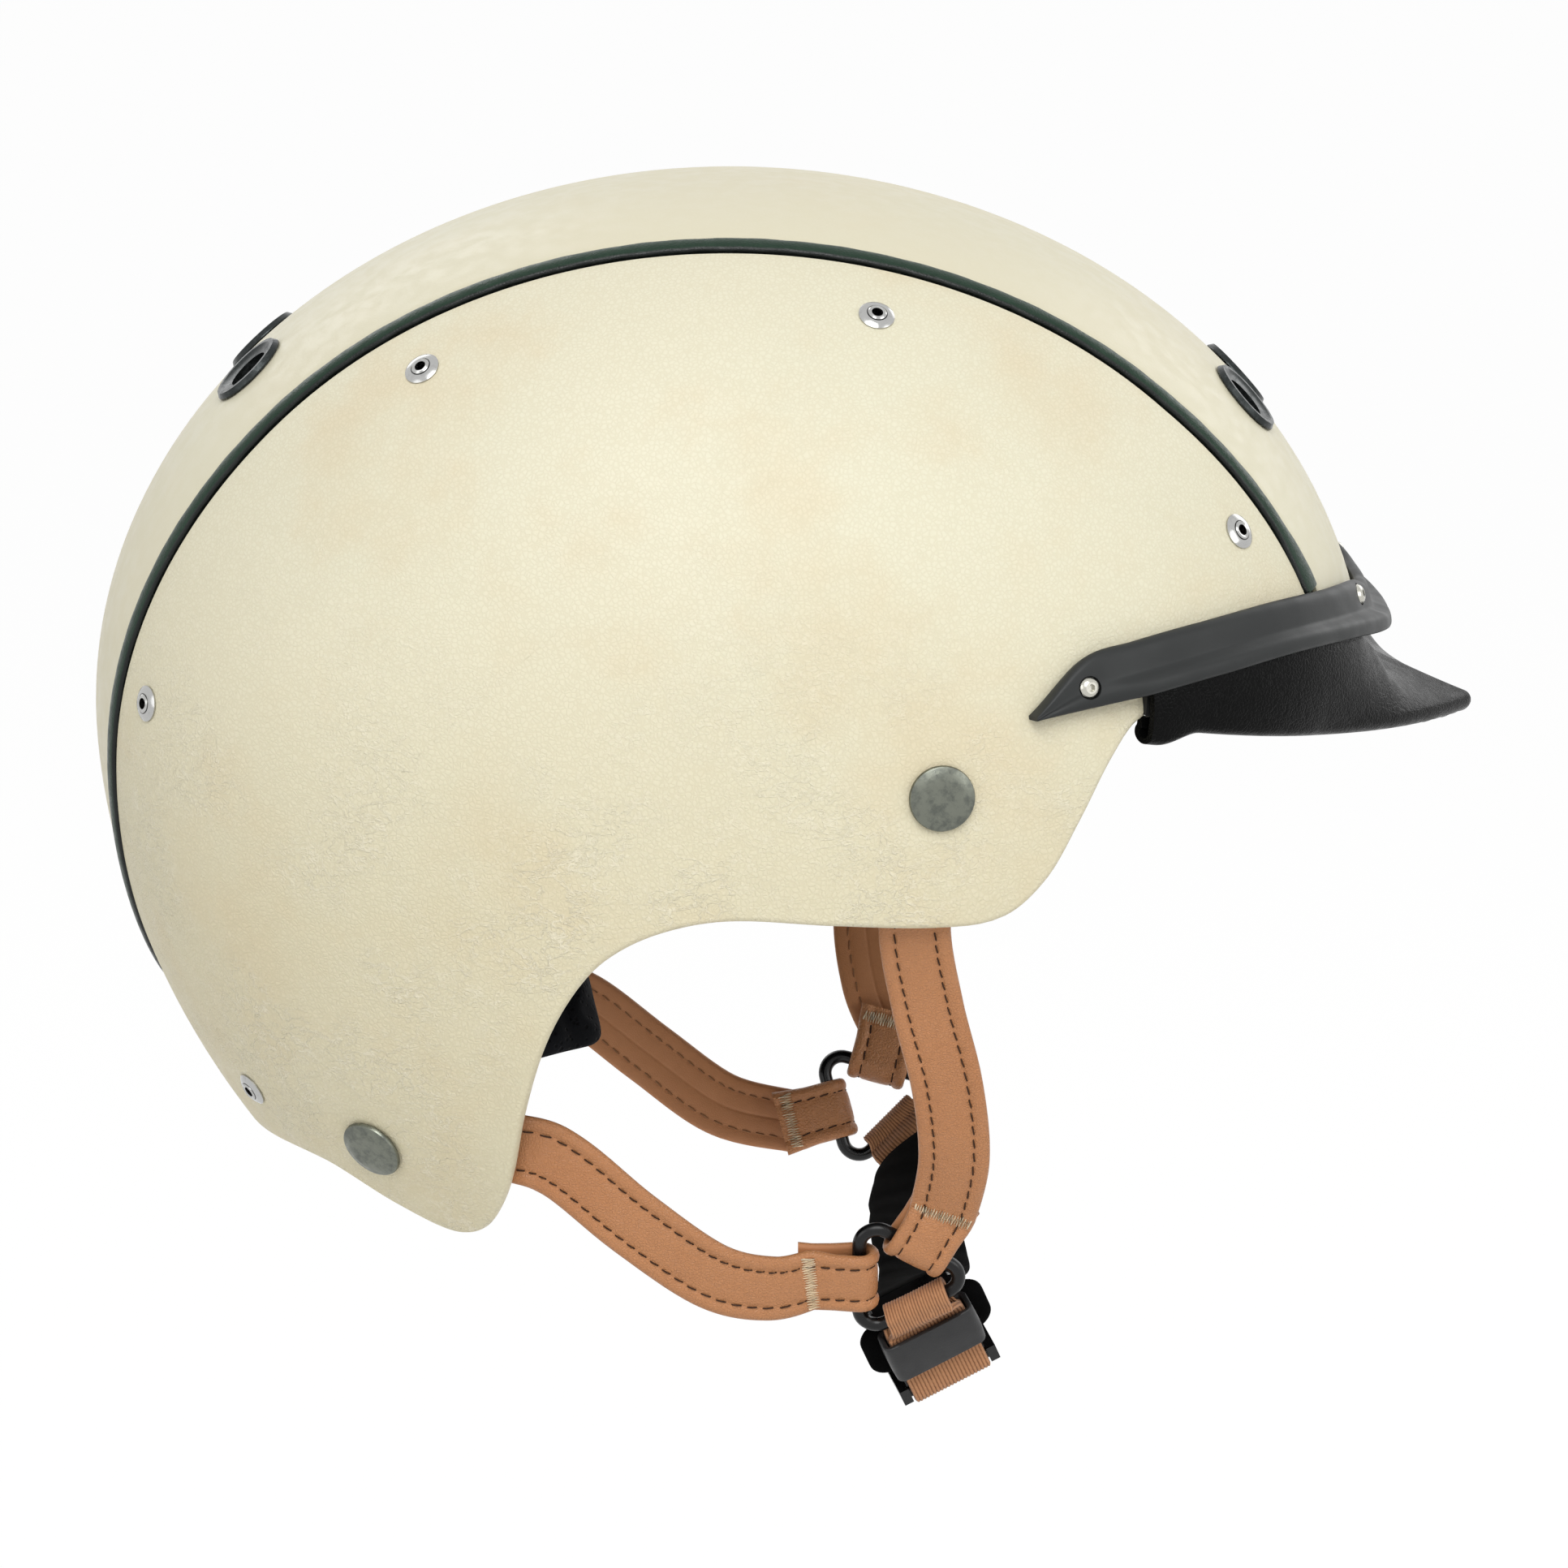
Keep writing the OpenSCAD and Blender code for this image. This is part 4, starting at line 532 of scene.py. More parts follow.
def leather(name, color, shade, warm, cell, depth, rough, creases=0.5, specular=0.4):
    """Grained leather: pebbles between creases, soft blotches and painted shade in the creases."""
    f = Finish(name, color, rough, specular=specular)
    bent = f.bent(cell * 2.2, cell * 0.45)
    pebble = f.ramp(f.cells(cell, bent), 0.0, 0.22)
    folds_at = f.bent(9.0, 3.5, f.stretched(1.0, 1.0, 1.7))
    fold = f.ramp(f.cells(5.5, folds_at), 0.0, 0.1)
    patch = f.ramp(f.noise(34.0, 3.0), 0.4, 0.62)
    broad = f.ramp(f.noise(48.0, 4.0, 0.6), 0.42, 0.72)
    fine = f.noise(0.5, 3.0, 0.6)
    line = f.math("SUBTRACT", 1.0, pebble)
    deep = f.math("MULTIPLY", f.math("SUBTRACT", 1.0, fold), patch)
    f.tint(f.math("MULTIPLY", broad, 0.55), warm)
    # Painted shade in the lines between pebbles and in the folds
    f.tint(f.math("MULTIPLY", line, 0.35 * creases), shade)
    f.tint(f.math("MULTIPLY", deep, 0.45 * creases), shade)
    f.raise_by(pebble, depth)
    f.raise_by(f.math("MULTIPLY", deep, -1.0), depth * 1.5 * creases)
    f.raise_by(fine, depth * 0.45)
    f.shine((3.0, 3.0), rough - 0.06, rough + 0.07)
    return f


def cream_cover(name, grain):
    """Cream leather. grain from 0, smooth, to 1, with the full pebble and wrinkles."""
    # The smooth crown leather is a little darker than the grained side leather: partly its own tone and
    # partly painted shade on the crown top.
    f = Finish(name, srgb(232, 227, 203) if grain > 0.5 else srgb(226, 220, 195), 0.46, specular=0.3)
    # Darker and yellower towards the bottom: painted shade. The same mask also deepens the pebble and the
    # wrinkles lower down.
    low = f.add("SeparateXYZ", {0: f.place}).outputs["Z"]
    tone_mask = f.ramp(low, 0.07, -0.05)
    pebble = f.ramp(f.cells(1.0, f.bent(3.0, 0.6)), 0.0, 0.26)
    # Thin branching wrinkles, along the lines where two noises pass their middle
    wander = f.bent(16.0, 5.0, f.stretched(1.0, 1.0, 1.5))
    fold = None
    for size, width in ((8.0, 0.02), (4.0, 0.026)):
        apart = f.math("ABSOLUTE", f.math("SUBTRACT", f.noise(size, 4.0, 0.58, wander), 0.5))
        line = f.math("SUBTRACT", 1.0, f.ramp(apart, 0.0, width))
        fold = line if fold is None else f.math("MAXIMUM", fold, line)
    patch = f.ramp(f.noise(28.0, 3.0, 0.6), 0.38, 0.6)
    fold = f.math("MULTIPLY", f.math("MULTIPLY", fold, patch), f.math("MULTIPLY_ADD", tone_mask, 0.8, 0.2))
    warm = f.ramp(f.noise(40.0, 4.0, 0.6), 0.46, 0.74)
    cloud = f.ramp(f.noise(75.0, 2.0), 0.35, 0.65)
    f.tint(f.math("MULTIPLY", warm, 0.7 * grain + 0.1), srgb(228, 212, 180))
    f.tint(f.math("MULTIPLY", cloud, 0.35), srgb(226, 224, 200))
    # Painted shade towards the bottom
    f.tint(f.math("MULTIPLY", tone_mask, 0.45 * grain), srgb(218, 206, 168))
    # Painted shade in the lines between the pebbles
    f.tint(f.math("MULTIPLY", f.math("SUBTRACT", 1.0, pebble), 0.2 * grain), srgb(200, 188, 152))
    f.tint(f.math("MULTIPLY", fold, 0.4 * grain), srgb(247, 241, 222))
    f.raise_by(f.math("MULTIPLY", pebble, f.math("MULTIPLY_ADD", tone_mask, 0.5, 0.5)), 0.06 * grain)
    f.raise_by(fold, 0.09 * grain)
    f.raise_by(f.noise(0.7, 3.0, 0.6), 0.025 * grain + 0.006)
    f.raise_by(f.noise(7.0, 2.0), 0.06 * grain)
    f.shine((4.0, 3.0), 0.42 - 0.06 * (1 - grain), 0.55)
    return f


def make_materials():
    cream_cover("side_leather", 1.0).done()
    cream_cover("crown_leather", 0.15).done()

    f = Finish("piping_leather", srgb(16, 44, 28), 0.34, specular=0.3)
    # Darker towards the sides of the bead: painted shade of the recess beside it, and partly the piping's
    # dark flange
    edge = f.ramp(f.value("edge"), 0.62, 0.9)
    # Lighter worn patches at random
    tone_mask = f.ramp(f.noise(2.2, 4.0, 0.65), 0.5, 0.75)
    f.tint(f.math("MULTIPLY", tone_mask, 0.3), srgb(40, 70, 50))
    f.tint(edge, srgb(8, 14, 12))
    f.raise_by(f.ramp(f.cells(0.8, f.bent(1.6, 0.4)), 0.0, 0.25), 0.02)
    f.raise_by(f.noise(3.0, 3.0), 0.08)
    f.shine((1.5, 3.0), 0.27, 0.42)
    f.done()

    leather(
        "peak_leather", srgb(9, 9, 9), srgb(3, 3, 3), srgb(12, 12, 12), 0.95, 0.04, 0.26,
        0.6, specular=0.07,
    ).done()
    leather(
        "strap_leather", srgb(188, 130, 86), srgb(122, 74, 42), srgb(176, 116, 72), 0.7, 0.08, 0.37,
        0.16,
    ).done()
    leather(
        "strap_lining", srgb(188, 128, 84), srgb(124, 78, 46), srgb(166, 110, 70), 0.45, 0.02, 0.52,
        0.12,
    ).done()
    leather(
        "keeper_leather", srgb(36, 36, 37), srgb(14, 14, 14), srgb(30, 30, 31), 0.5, 0.012, 0.42,
        0.3,
    ).done()

    for name, color in (
        ("thread_dark", srgb(62, 40, 26)), ("thread_light", srgb(240, 222, 192)),
        ("thread_tan", srgb(150, 108, 74)), ("thread_black", srgb(16, 16, 16)),
    ):
        f = Finish(name, color, 0.75, specular=0.25)
        f.blotches((0.3, 2.0), 0.4, 0.7, 0.35, darker(color, 0.6))
        f.raise_by(f.noise(0.16, 2.0), 0.05)
        f.done()

    f = Finish("holder_plastic", srgb(38, 40, 40), 0.46, specular=0.3)
    f.raise_by(f.noise(0.35, 3.0, 0.6), 0.018)
    f.shine((9.0, 4.0), 0.4, 0.52)
    f.blotches((14.0, 4.0), 0.5, 0.8, 0.35, srgb(48, 50, 49))
    f.done()

    f = Finish("buckle_plastic", srgb(14, 14, 15), 0.3, specular=0.35)
    f.raise_by(f.noise(0.5, 2.0), 0.008)
    f.shine((5.0, 4.0), 0.22, 0.4, 0.35)
    f.blotches((8.0, 3.0), 0.5, 0.8, 0.4, srgb(24, 24, 25))
    f.done()

    f = Finish("ring_metal", srgb(10, 10, 11), 0.28, specular=0.35)
    f.raise_by(f.noise(0.6, 3.0), 0.01)
    f.shine((3.0, 4.0), 0.2, 0.36, 0.35)
    f.done()

    f = Finish("vent_metal", srgb(44, 48, 48), 0.3, metal=0.75)
    f.shine((1.2, 4.0), 0.22, 0.42, 0.35)
    f.blotches((0.9, 4.0), 0.5, 0.75, 0.5, srgb(74, 78, 78))
    f.raise_by(f.noise(0.25, 2.0), 0.008)
    f.done()

    f = Finish("cap_metal", srgb(122, 125, 115), 0.34, metal=1.0)
    brushed = f.noise(1.4, 6.0, 0.7, f.bent(3.0, 0.8))
    f.rough(f.ramp(brushed, 0.3, 0.7, 0.26, 0.46))
    f.blotches((2.6, 5.0, 0.7), 0.42, 0.66, 0.55, srgb(76, 80, 78))
    f.raise_by(f.noise(0.3, 3.0), 0.012)
    f.done()

    for name, color, low, high in (
        ("eyelet_metal", srgb(182, 182, 180), 0.12, 0.26),
        ("screw_steel", srgb(196, 194, 184), 0.16, 0.32),
        ("inner_steel", srgb(150, 152, 152), 0.3, 0.45),
        ("nut_brass", srgb(196, 160, 96), 0.25, 0.4),
        ("magnet_nickel", srgb(190, 190, 188), 0.15, 0.3),
    ):
        f = Finish(name, color, low, metal=1.0)
        f.shine((0.8, 5.0, 0.7), low, high)
        f.blotches((1.6, 4.0), 0.5, 0.8, 0.35, darker(color, 0.6))
        f.raise_by(f.noise(0.2, 2.0), 0.004)
        f.done()

    f = Finish("webbing", srgb(186, 134, 96), 0.72, specular=0.15)
    # Painted shade in the grooves between the ribs
    f.tint(f.ramp(f.value("groove_shade"), 0.25, 0.9, 0.0, 0.7), srgb(104, 66, 42))
    f.blotches((1.1, 3.0), 0.5, 0.75, 0.4, srgb(200, 148, 106))
    f.raise_by(f.noise(0.22, 3.0, 0.7), 0.07)
    f.shader.inputs["Sheen Weight"].default_value = 0.2
    f.done()

    f = Finish("sleeve_velour", srgb(5, 5, 5), 0.95, specular=0.03)
    f.blotches((6.0, 4.0, 0.65), 0.42, 0.75, 0.6, srgb(11, 11, 12))
    f.raise_by(f.noise(0.3, 4.0, 0.8), 0.08)
    f.raise_by(f.noise(2.4, 3.0), 0.05)
    f.shader.inputs["Sheen Weight"].default_value = 0.015
    f.shader.inputs["Sheen Roughness"].default_value = 0.5
    f.done()

    f = Finish("pad_fabric", srgb(20, 21, 24), 0.86, specular=0.1)
    hole = f.ramp(f.cells(1.5, feature="F1"), 0.12, 0.38)
    f.tint(f.math("SUBTRACT", 1.0, hole), srgb(8, 8, 10))
    f.blotches((9.0, 3.0), 0.5, 0.75, 0.4, srgb(40, 41, 46))
    f.raise_by(hole, 0.22)
    f.raise_by(f.noise(0.3, 3.0), 0.06)
    f.shader.inputs["Sheen Weight"].default_value = 0.08
    f.done()

    f = Finish("liner_foam", srgb(58, 60, 62), 0.62, specular=0.3)
    bead = f.ramp(f.cells(3.4, f.bent(5.0, 0.6)), 0.0, 0.16)
    f.tint(f.math("SUBTRACT", 1.0, bead), srgb(38, 40, 42))
    f.blotches((2.8, 2.0), 0.5, 0.7, 0.4, srgb(70, 72, 74))
    f.raise_by(bead, 0.16)
    f.raise_by(f.noise(0.5, 3.0), 0.03)
    f.done()

    for name, color, rough in (
        ("shell_plastic", srgb(214, 208, 188), 0.4), ("fit_plastic", srgb(40, 41, 43), 0.42),
        ("dial_nylon", srgb(200, 200, 196), 0.45), ("dial_rubber", srgb(30, 31, 32), 0.7),
        ("board_plastic", srgb(26, 26, 26), 0.6),
    ):
        f = Finish(name, color, rough, specular=0.4)
        f.raise_by(f.noise(0.4, 3.0, 0.6), 0.014)
        f.shine((7.0, 4.0), rough - 0.06, rough + 0.07)
        f.blotches((12.0, 4.0), 0.5, 0.8, 0.35, darker(color, 0.8))
        f.done()


# Holes for the hardware

SCREW_SEAT_R = 2.45
VENT_HOLE_R = 6.3
EYELET_HOLE_R = 1.85
FRONT_VENT_Y = 18.0
REAR_VENT_Y = 23.0
SCREW_PLACES = [level_point(s * 52.1, 18.4, 0.0) for s in BOTH]
SCREW_PLACES += [level_point(s * 12.2, 26.1, 0.0) for s in BOTH]
FRONT_VENTS = [crown_point(31.5, s * FRONT_VENT_Y) for s in BOTH]
REAR_VENTS = [crown_point(144.0, s * REAR_VENT_Y) for s in BOTH]
EYELETS = [[-63.4, 80.5], [30.9, 91.8], [106.9, 45.6], [-122.6, 8.2], [-102, -77]]


def apply_modifiers(obj):
    graph = bpy.context.evaluated_depsgraph_get()
    done = bpy.data.meshes.new_from_object(obj.evaluated_get(graph))
    obj.modifiers.clear()
    obj.data = done


def drilled(obj, places, radius, low, high, sharp):
    """Cuts a round hole square to the surface at each place."""
    turn = np.arange(32) * 360 / 32
    cutters = []
    for place in places:
        n = outward(place)
        u = square_to([0, 0, 1], n)
        v = np.cross(n, u)
        ring = [place + depth * n + radius * (cos_d(turn)[:, None] * u + sin_d(turn)[:, None] * v)
                for depth in (low, high)]
        cutters.append((np.concatenate(ring), tube_faces(2, 32)))
    cutter = joined("cutters", cutters, "holder_plastic", None)
    cut = obj.modifiers.new("holes", "BOOLEAN")
    cut.operation = "DIFFERENCE"
    cut.object = cutter
    cut.solver = "EXACT"
    apply_modifiers(obj)
    bpy.data.objects.remove(cutter)
    obj.data.set_sharp_from_angle(angle=math.radians(sharp))
    return obj


# Covers of the shell


def side_outline(side):
    """Directions of a side cover's edge, and how much of each point lies on the rim."""
    rim_azimuths = np.concatenate([np.arange(24, 46, 1.0), np.arange(46, 60, 0.5),
                                   np.arange(60, 100, 1.25), np.arange(100, 136, 0.6),
                                   np.arange(136, 179.4, 1.2)])
    rim = direction(side * rim_azimuths, rim_polar(rim_azimuths) - 0.2)
    seam = crown_point(np.linspace(220.5, 209, 22), side * 0.3)
    band = np.concatenate([206.9 - np.linspace(0, 1, 40) ** 2 * 12, np.arange(194, 8, -1.2)])
    top = crown_point(band, side * np.maximum(0.3, crown_half(band, PIPING_W / 2 + PIPING_GAP + 0.05)))
    points = np.concatenate([unit(rim), unit(seam), unit(top)])
    on_rim = np.concatenate([np.ones(len(rim)), np.zeros(len(seam) + len(top))])
    return points, on_rim


def side_cover(side, name):
    edge, on_rim = side_outline(side)
    spread = np.array([0.1, 0.2, 0.4, 0.2, 0.1])
    on_rim = np.convolve(np.concatenate([on_rim[-2:], on_rim, on_rim[:2]]), spread, mode="valid")
    count = len(edge)
    middle = unit(side_point(-30.0, 35.0, side))
    rings = 42
    shares = np.linspace(0, 1, rings + 1)[1:] ** 0.9
    outer = [on_surface(mix(middle, edge, t)) for t in shares]
    rim_line = outer[-1]
    n = outward(rim_line)
    along = unit(np.roll(rim_line, -1, axis=0) - np.roll(rim_line, 1, axis=0))
    across = np.cross(along, n)
    across *= np.sign(np.sum(across * (rim_line - on_surface(middle)), axis=1).mean())
    # Leather turned round the shell's rim, or cut and pressed down beside the piping
    rim_turn = [
        (0.3, 0.02), (0.75, 0.18), (1.15, 0.55), (1.4, 1.1), (1.5, 1.8), (1.5, 2.8), (1.4, 3.5),
        (1.1, 4.1), (0.5, 4.5), (-0.4, 4.6), (-1.6, 4.55), (-2.1, 4.3), (-2.0, 3.9), (-1.2, 3.75),
        (0.3, 3.75), (0.7, 3.3), (0.72, 2.4), (0.6, 1.5), (-0.2, 1.15),
    ]
    cut_turn = [
        (-0.24, 0.01), (-0.14, 0.04), (-0.06, 0.12), (-0.02, 0.22), (0.0, 0.36), (0.0, 0.5),
        (0.0, 0.6), (0.0, 0.7), (0.0, 0.8), (-0.02, 0.86), (-0.04, 0.92), (-0.07, 0.97),
        (-0.1, 1.0), (-0.13, 1.03), (-0.17, 1.06), (-0.22, 1.08), (-0.28, 1.09), (-0.36, 1.1),
        (-0.5, 1.1),
    ]
    outer[-1] = rim_line - 0.5 * (1 - on_rim)[:, None] * across
    turned = []
    for r, c in zip(rim_turn, cut_turn):
        q = np.asarray(c)[None] + on_rim[:, None] * (np.asarray(r) - np.asarray(c))[None]
        turned.append(rim_line + q[:, :1] * across - q[:, 1:] * n)
    inner = []
    for t in np.linspace(0.97, 0.1, 9):
        p = on_surface(mix(middle, edge, t))
        inner.append(p - COVER_T * outward(p))
    rows = outer + turned + inner
    pole = on_surface(middle)
    points = np.concatenate([pole[None], *rows, (pole - COVER_T * outward(pole))[None]])
    faces = [[0, 1 + i, 1 + (i + 1) % count] for i in range(count)]
    for k in range(len(rows) - 1):
        faces += ring_quads(count, 1 + k * count, 1 + (k + 1) * count)
    last = 1 + (len(rows) - 1) * count
    faces += [[len(points) - 1, last + (i + 1) % count, last + i] for i in range(count)]
    obj = add_mesh(name, points, faces, "side_leather", sharp=60)
    eyelets = [side_point(x, z, side) for x, z in EYELETS]
    return drilled(obj, eyelets, EYELET_HOLE_R, -6.0, 5.0, 60)


def crown_cover():
    offset = -PIPING_W / 2 - PIPING_GAP
    end = CROWN_TURN + (CROWN_END + 0.43 * offset - CROWN_TURN) * 0.9993
    angles = np.concatenate([np.arange(8, 145, 1.3), mix(145, end, 1 - (1 - np.linspace(0, 1, 90)) ** 2)])
    half = np.maximum(0.35, crown_half(angles, offset))
    cols = np.linspace(-1, 1, 61)
    rings = []
    for angle, h in zip(angles, half):
        top = crown_point(angle, cols * (h - min(0.25, h / 3)))
        edge = np.array([h, -h])
        sides = crown_point(angle, edge)
        n = outward(sides)
        right = [sides[0] - d * n[0] for d in (0.12, 0.4, 0.8, 1.1)]
        left = [sides[1] - d * n[1] for d in (1.1, 0.8, 0.4, 0.12)]
        below = crown_point(angle, cols[::-1][6:-6:4] * (h - 0.1))
        below = below - COVER_T * outward(below)
        rings.append(np.concatenate([top, right, below, left]))
    obj = tube("crown_cover_leather", rings, "crown_leather", sharp=50)
    return drilled(obj, FRONT_VENTS + REAR_VENTS, VENT_HOLE_R, -12.0, 5.0, 50)


def edge_piping():
    angles = np.concatenate([np.arange(PIPING_START - 0.6, 145, 0.8),
                             mix(145, CROWN_END, 1 - (1 - np.linspace(0, 1, 110)) ** 2)])
    one_side = crown_point(angles, crown_half(angles))
    route = np.concatenate([one_side * [1, -1, 1], one_side[::-1][1:]])
    route = even_steps(route, PIPING_STEP)
    n = outward(route)
    along = unit(np.gradient(route, axis=0))
    across = unit(np.cross(n, along))
    half = PIPING_W / 2
    base = SHELL_OUT - 0.3
    turn = np.linspace(0, 180, 17)
    rise = np.maximum(0, sin_d(turn)) ** 0.8 * (PIPING_RISE + 0.15) - 0.15
    bead = np.stack([cos_d(turn) * half, rise], axis=1)
    foot = [[-half, -base], [-half * 0.3, -base], [half * 0.3, -base]]
    profile = np.concatenate([[[half, -base]], bead, foot])
    k = np.arange(len(route))
    wave = 0.05 * np.sin(k * 0.9) + 0.04 * np.sin(k * 0.37)
    from_end = PIPING_STEP * np.minimum(k, k[::-1])
    grow = 1 + 0.06 * wave[:, None] / 0.09 + 0.45 * soft_step((18 - from_end) / 16)[:, None]
    rings = (
        route[:, None] + (profile[None, :, :1] * grow[:, None] * 0.97) * across[:, None]
        + profile[None, :, 1:] * n[:, None]
    )
    # How near each point lies to the bead's sides, for the painted shade there
    edge = np.broadcast_to(np.abs(profile[:, 0]) / half, (len(route), len(profile)))
    return tube("edge_piping_leather", rings, "piping_leather", sharp=70,
                values={"edge": edge})


# Peak and its holder


def rounded(profile, steps=3):
    """A closed profile with its corners rounded."""
    p = np.asarray(profile, float)
    for _ in range(steps):
        ahead = np.roll(p, -1, axis=-2)
        p = np.stack([0.78 * p + 0.22 * ahead, 0.22 * p + 0.78 * ahead], axis=-2)
        p = p.reshape(p.shape[:-3] + (-1, 2))
    return p


def peak_holder():
    azimuths = np.concatenate([-58 + np.linspace(0, 1, 26) ** 1.4 * 12, np.arange(-45.4, 45.5, 0.8),
                               58 - np.linspace(1, 0, 26) ** 1.4 * 12])
    rings = []
    for a in azimuths:
        top = float(curve(HOLDER_KEYS, abs(a), 1))
        low = float(curve(HOLDER_KEYS, abs(a), 2))
        h = top - low
        tip = min(1, h / 8)
        lip = mix(HOLDER_T, HOLDER_LIP + 0.6, soft_step((54 - abs(a)) / 8))
        lip += 1.5 * soft_step((24 - abs(a)) / 20)
        rebate = mix(0.45, PEAK_ROOT_OUT + 0.3, soft_step((50.5 - abs(a)) / 3.5))
        section = [
            [0.35, top - 0.08 * h], [0.5 * HOLDER_T, top], [HOLDER_T - 0.7, top - 0.03 * h],
            [HOLDER_T - 0.15, top - 0.13 * h], [HOLDER_T - 0.2, low + 0.52 * h],
            [HOLDER_T - 0.1, low + 0.43 * h], [lip - 0.3, low + 0.33 * h], [lip, low + 0.24 * h],
            [lip - 0.1, low + 0.1 * h], [lip - 0.7, low + 0.02 * h],
            [rebate + 0.1, low + 0.02 * h], [rebate, low + 0.42 * tip * h], [0.35, low + 0.48 * h],
        ]
        q = rounded(section, 2)
        rings.append(level_point(a, q[:, 1], q[:, 0]))
    obj = tube("peak_holder_moulding", rings, "holder_plastic", sharp=32)
    return drilled(obj, SCREW_PLACES, SCREW_SEAT_R, HOLDER_T - 0.8, 9.0, 32)


PEAK_ROOT_OUT = 0.45 + PEAK_LEATHER_T + 0.4 + PEAK_BOARD_T
PEAK_ROOT_KEYS = [
    [0, -3, 12.8], [6, -2.6, 13], [10, PEAK_ROOT_OUT, 13.6], [14, PEAK_ROOT_OUT, 18.4],
    [18, PEAK_ROOT_OUT, 22.6], [30, PEAK_ROOT_OUT, 24], [40, PEAK_ROOT_OUT, 21.8],
    [50, PEAK_ROOT_OUT, 18],
]


def peak_section(a):
    """Root, middle and end of the peak's upper curve at an azimuth, and its fall in degrees."""
    a = abs(a)
    near = max(0, 1 - a / 25)
    edge_out = 2 + PEAK_REACH * near**1.6 - 2 * near
    edge_low = -3.6 + 12.6 * (a / 46) ** 1.5 - 3.4 * soft_step((a - 40) / 5)
    fall = float(mix(22, 105, soft_step(a / 25)))
    roll = np.array([edge_out - PEAK_ROLL, edge_low + PEAK_ROLL])
    end = roll + PEAK_ROLL * np.array([sin_d(fall), cos_d(fall)])
    start = np.array([curve(PEAK_ROOT_KEYS, a, 1), curve(PEAK_ROOT_KEYS, a, 2)])
    middle = end - 0.45 * np.linalg.norm(end - start) * np.array([cos_d(fall), -sin_d(fall)])
    return start, middle, end, roll, fall


def bezier(start, middle, end, t):
    t = np.asarray(t, float)[:, None]
    return (1 - t) ** 2 * start + 2 * t * (1 - t) * middle + t * t * end


def bezier_normal(start, middle, end, t):
    t = np.asarray(t, float)[:, None]
    d = unit(2 * (1 - t) * (middle - start) + 2 * t * (end - middle))
    return np.stack([-d[:, 1], d[:, 0]], axis=1)


def peak():
    azimuths = np.linspace(-PEAK_SPAN, PEAK_SPAN, 231)
    top_rings, low_rings = [], []
    seam_line = []
    for k, a in enumerate(azimuths):
        start, middle, end, roll, fall = peak_section(a)
        t = np.linspace(0.03, 1, 26)
        face = bezier(start, middle, end, t)
        normal = bezier_normal(start, middle, end, t)
        inner = PEAK_ROLL - PEAK_LEATHER_T
        # The rolled edge, gathered where the leather is drawn in underneath
        b = np.linspace(12, 205, 18)
        gather = 0.16 * np.sin(k * 1.55) + 0.08 * np.sin(k * 0.71 + 1)
        grow = 1 + gather * soft_step((b - 105) / 60) / PEAK_ROLL
        way = np.stack([cos_d(90 - fall - b), sin_d(90 - fall - b)], axis=1)
        rolled = roll + PEAK_ROLL * grow[:, None] * way
        back = (roll + inner * way)[::-1]
        under = (face - PEAK_LEATHER_T * normal)[::-1]
        top_rings.append(np.concatenate([face, rolled, back, under]))
        seam_line.append(rolled[-4])
        t = np.linspace(float(mix(0.2, 0.7, soft_step((abs(a) - 5) / 9))), 0.93, 12)
        face = bezier(start, middle, end, t)
        normal = bezier_normal(start, middle, end, t)
        low = PEAK_LEATHER_T + 0.4 + PEAK_BOARD_T + 0.3
        pucker = (0.1 * np.sin(k * 1.55 + 0.6) * soft_step((t - 0.8) / 0.13))[:, None]
        low_rings.append(np.concatenate([
            face - low * normal, (face - (low + PEAK_LEATHER_T + pucker) * normal)[::-1],
        ]))

    def swept(sections):
        s = np.array(sections)
        return level_point(azimuths[:, None], s[:, :, 1], s[:, :, 0])

    top = tube("peak_top_cover", swept(top_rings), "peak_leather", sharp=60)
    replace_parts(top, "peak_top_leather")
    low = tube("peak_lining", swept(low_rings), "peak_leather", sharp=60)
    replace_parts(low, "peak_under_leather")
    return even_steps(swept([[p] for p in seam_line])[:, 0], 0.5)


def peak_stitches(line):
    parts = []
    lift = unit(line - vec(20.0, 0.0, 25.0))
    for k in range(4, len(line) - 8, 6):
        parts.append(stitch(line[k], line[k + 4], lift[k], 0.22))
    joined("peak_edge_stitches", parts, "thread_black")


# Straps and rings


def ring_middle(side):
    return vec(36, -68.5, -113.5) if side < 0 else vec(31.4, 68.5, -107.8)


def ring_turn(side):
    return 0.0 if side < 0 else 15.0


def ring_up(side):
    return vec(0, side * sin_d(RING_LEAN), cos_d(RING_LEAN))


def ring_out(side):
    return vec(0, side * cos_d(RING_LEAN), -sin_d(RING_LEAN))


def ring_way(side, angle):
    turned = angle + ring_turn(side)
    return cos_d(turned) * vec(1, 0, 0) + sin_d(turned) * ring_up(side)


def ring_bar(side, angle):
    return ring_middle(side) + RING_IN_R * ring_way(side, angle)


FRONT_SIDE = 60
REAR_SIDE = 180
CHIN_SIDE = 300


def strap_ring(side, name):
    corner_at = 2 * (RING_IN_R - RING_CORNER_R)
    turn = np.arange(20) * 18.0

    def section(middle, way):
        round_it = cos_d(turn)[:, None] * way + sin_d(turn)[:, None] * ring_out(side)
        return middle + RING_CORNER_R * way + RING_WIRE_D / 2 * round_it

    rings = []
    for corner in (0, 120, 240):
        this = ring_middle(side) + corner_at * ring_way(side, corner)
        follow = ring_middle(side) + corner_at * ring_way(side, corner + 120)
        for b in np.linspace(-60, 60, 15):
            rings.append(section(this, ring_way(side, corner + b)))
        for t in (0.25, 0.5, 0.75):
            rings.append(section(mix(this, follow, t), ring_way(side, corner + 60)))
    obj = tube(name + "_wire", rings, "ring_metal", closed=True, sharp=80)
    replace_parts(obj, name)


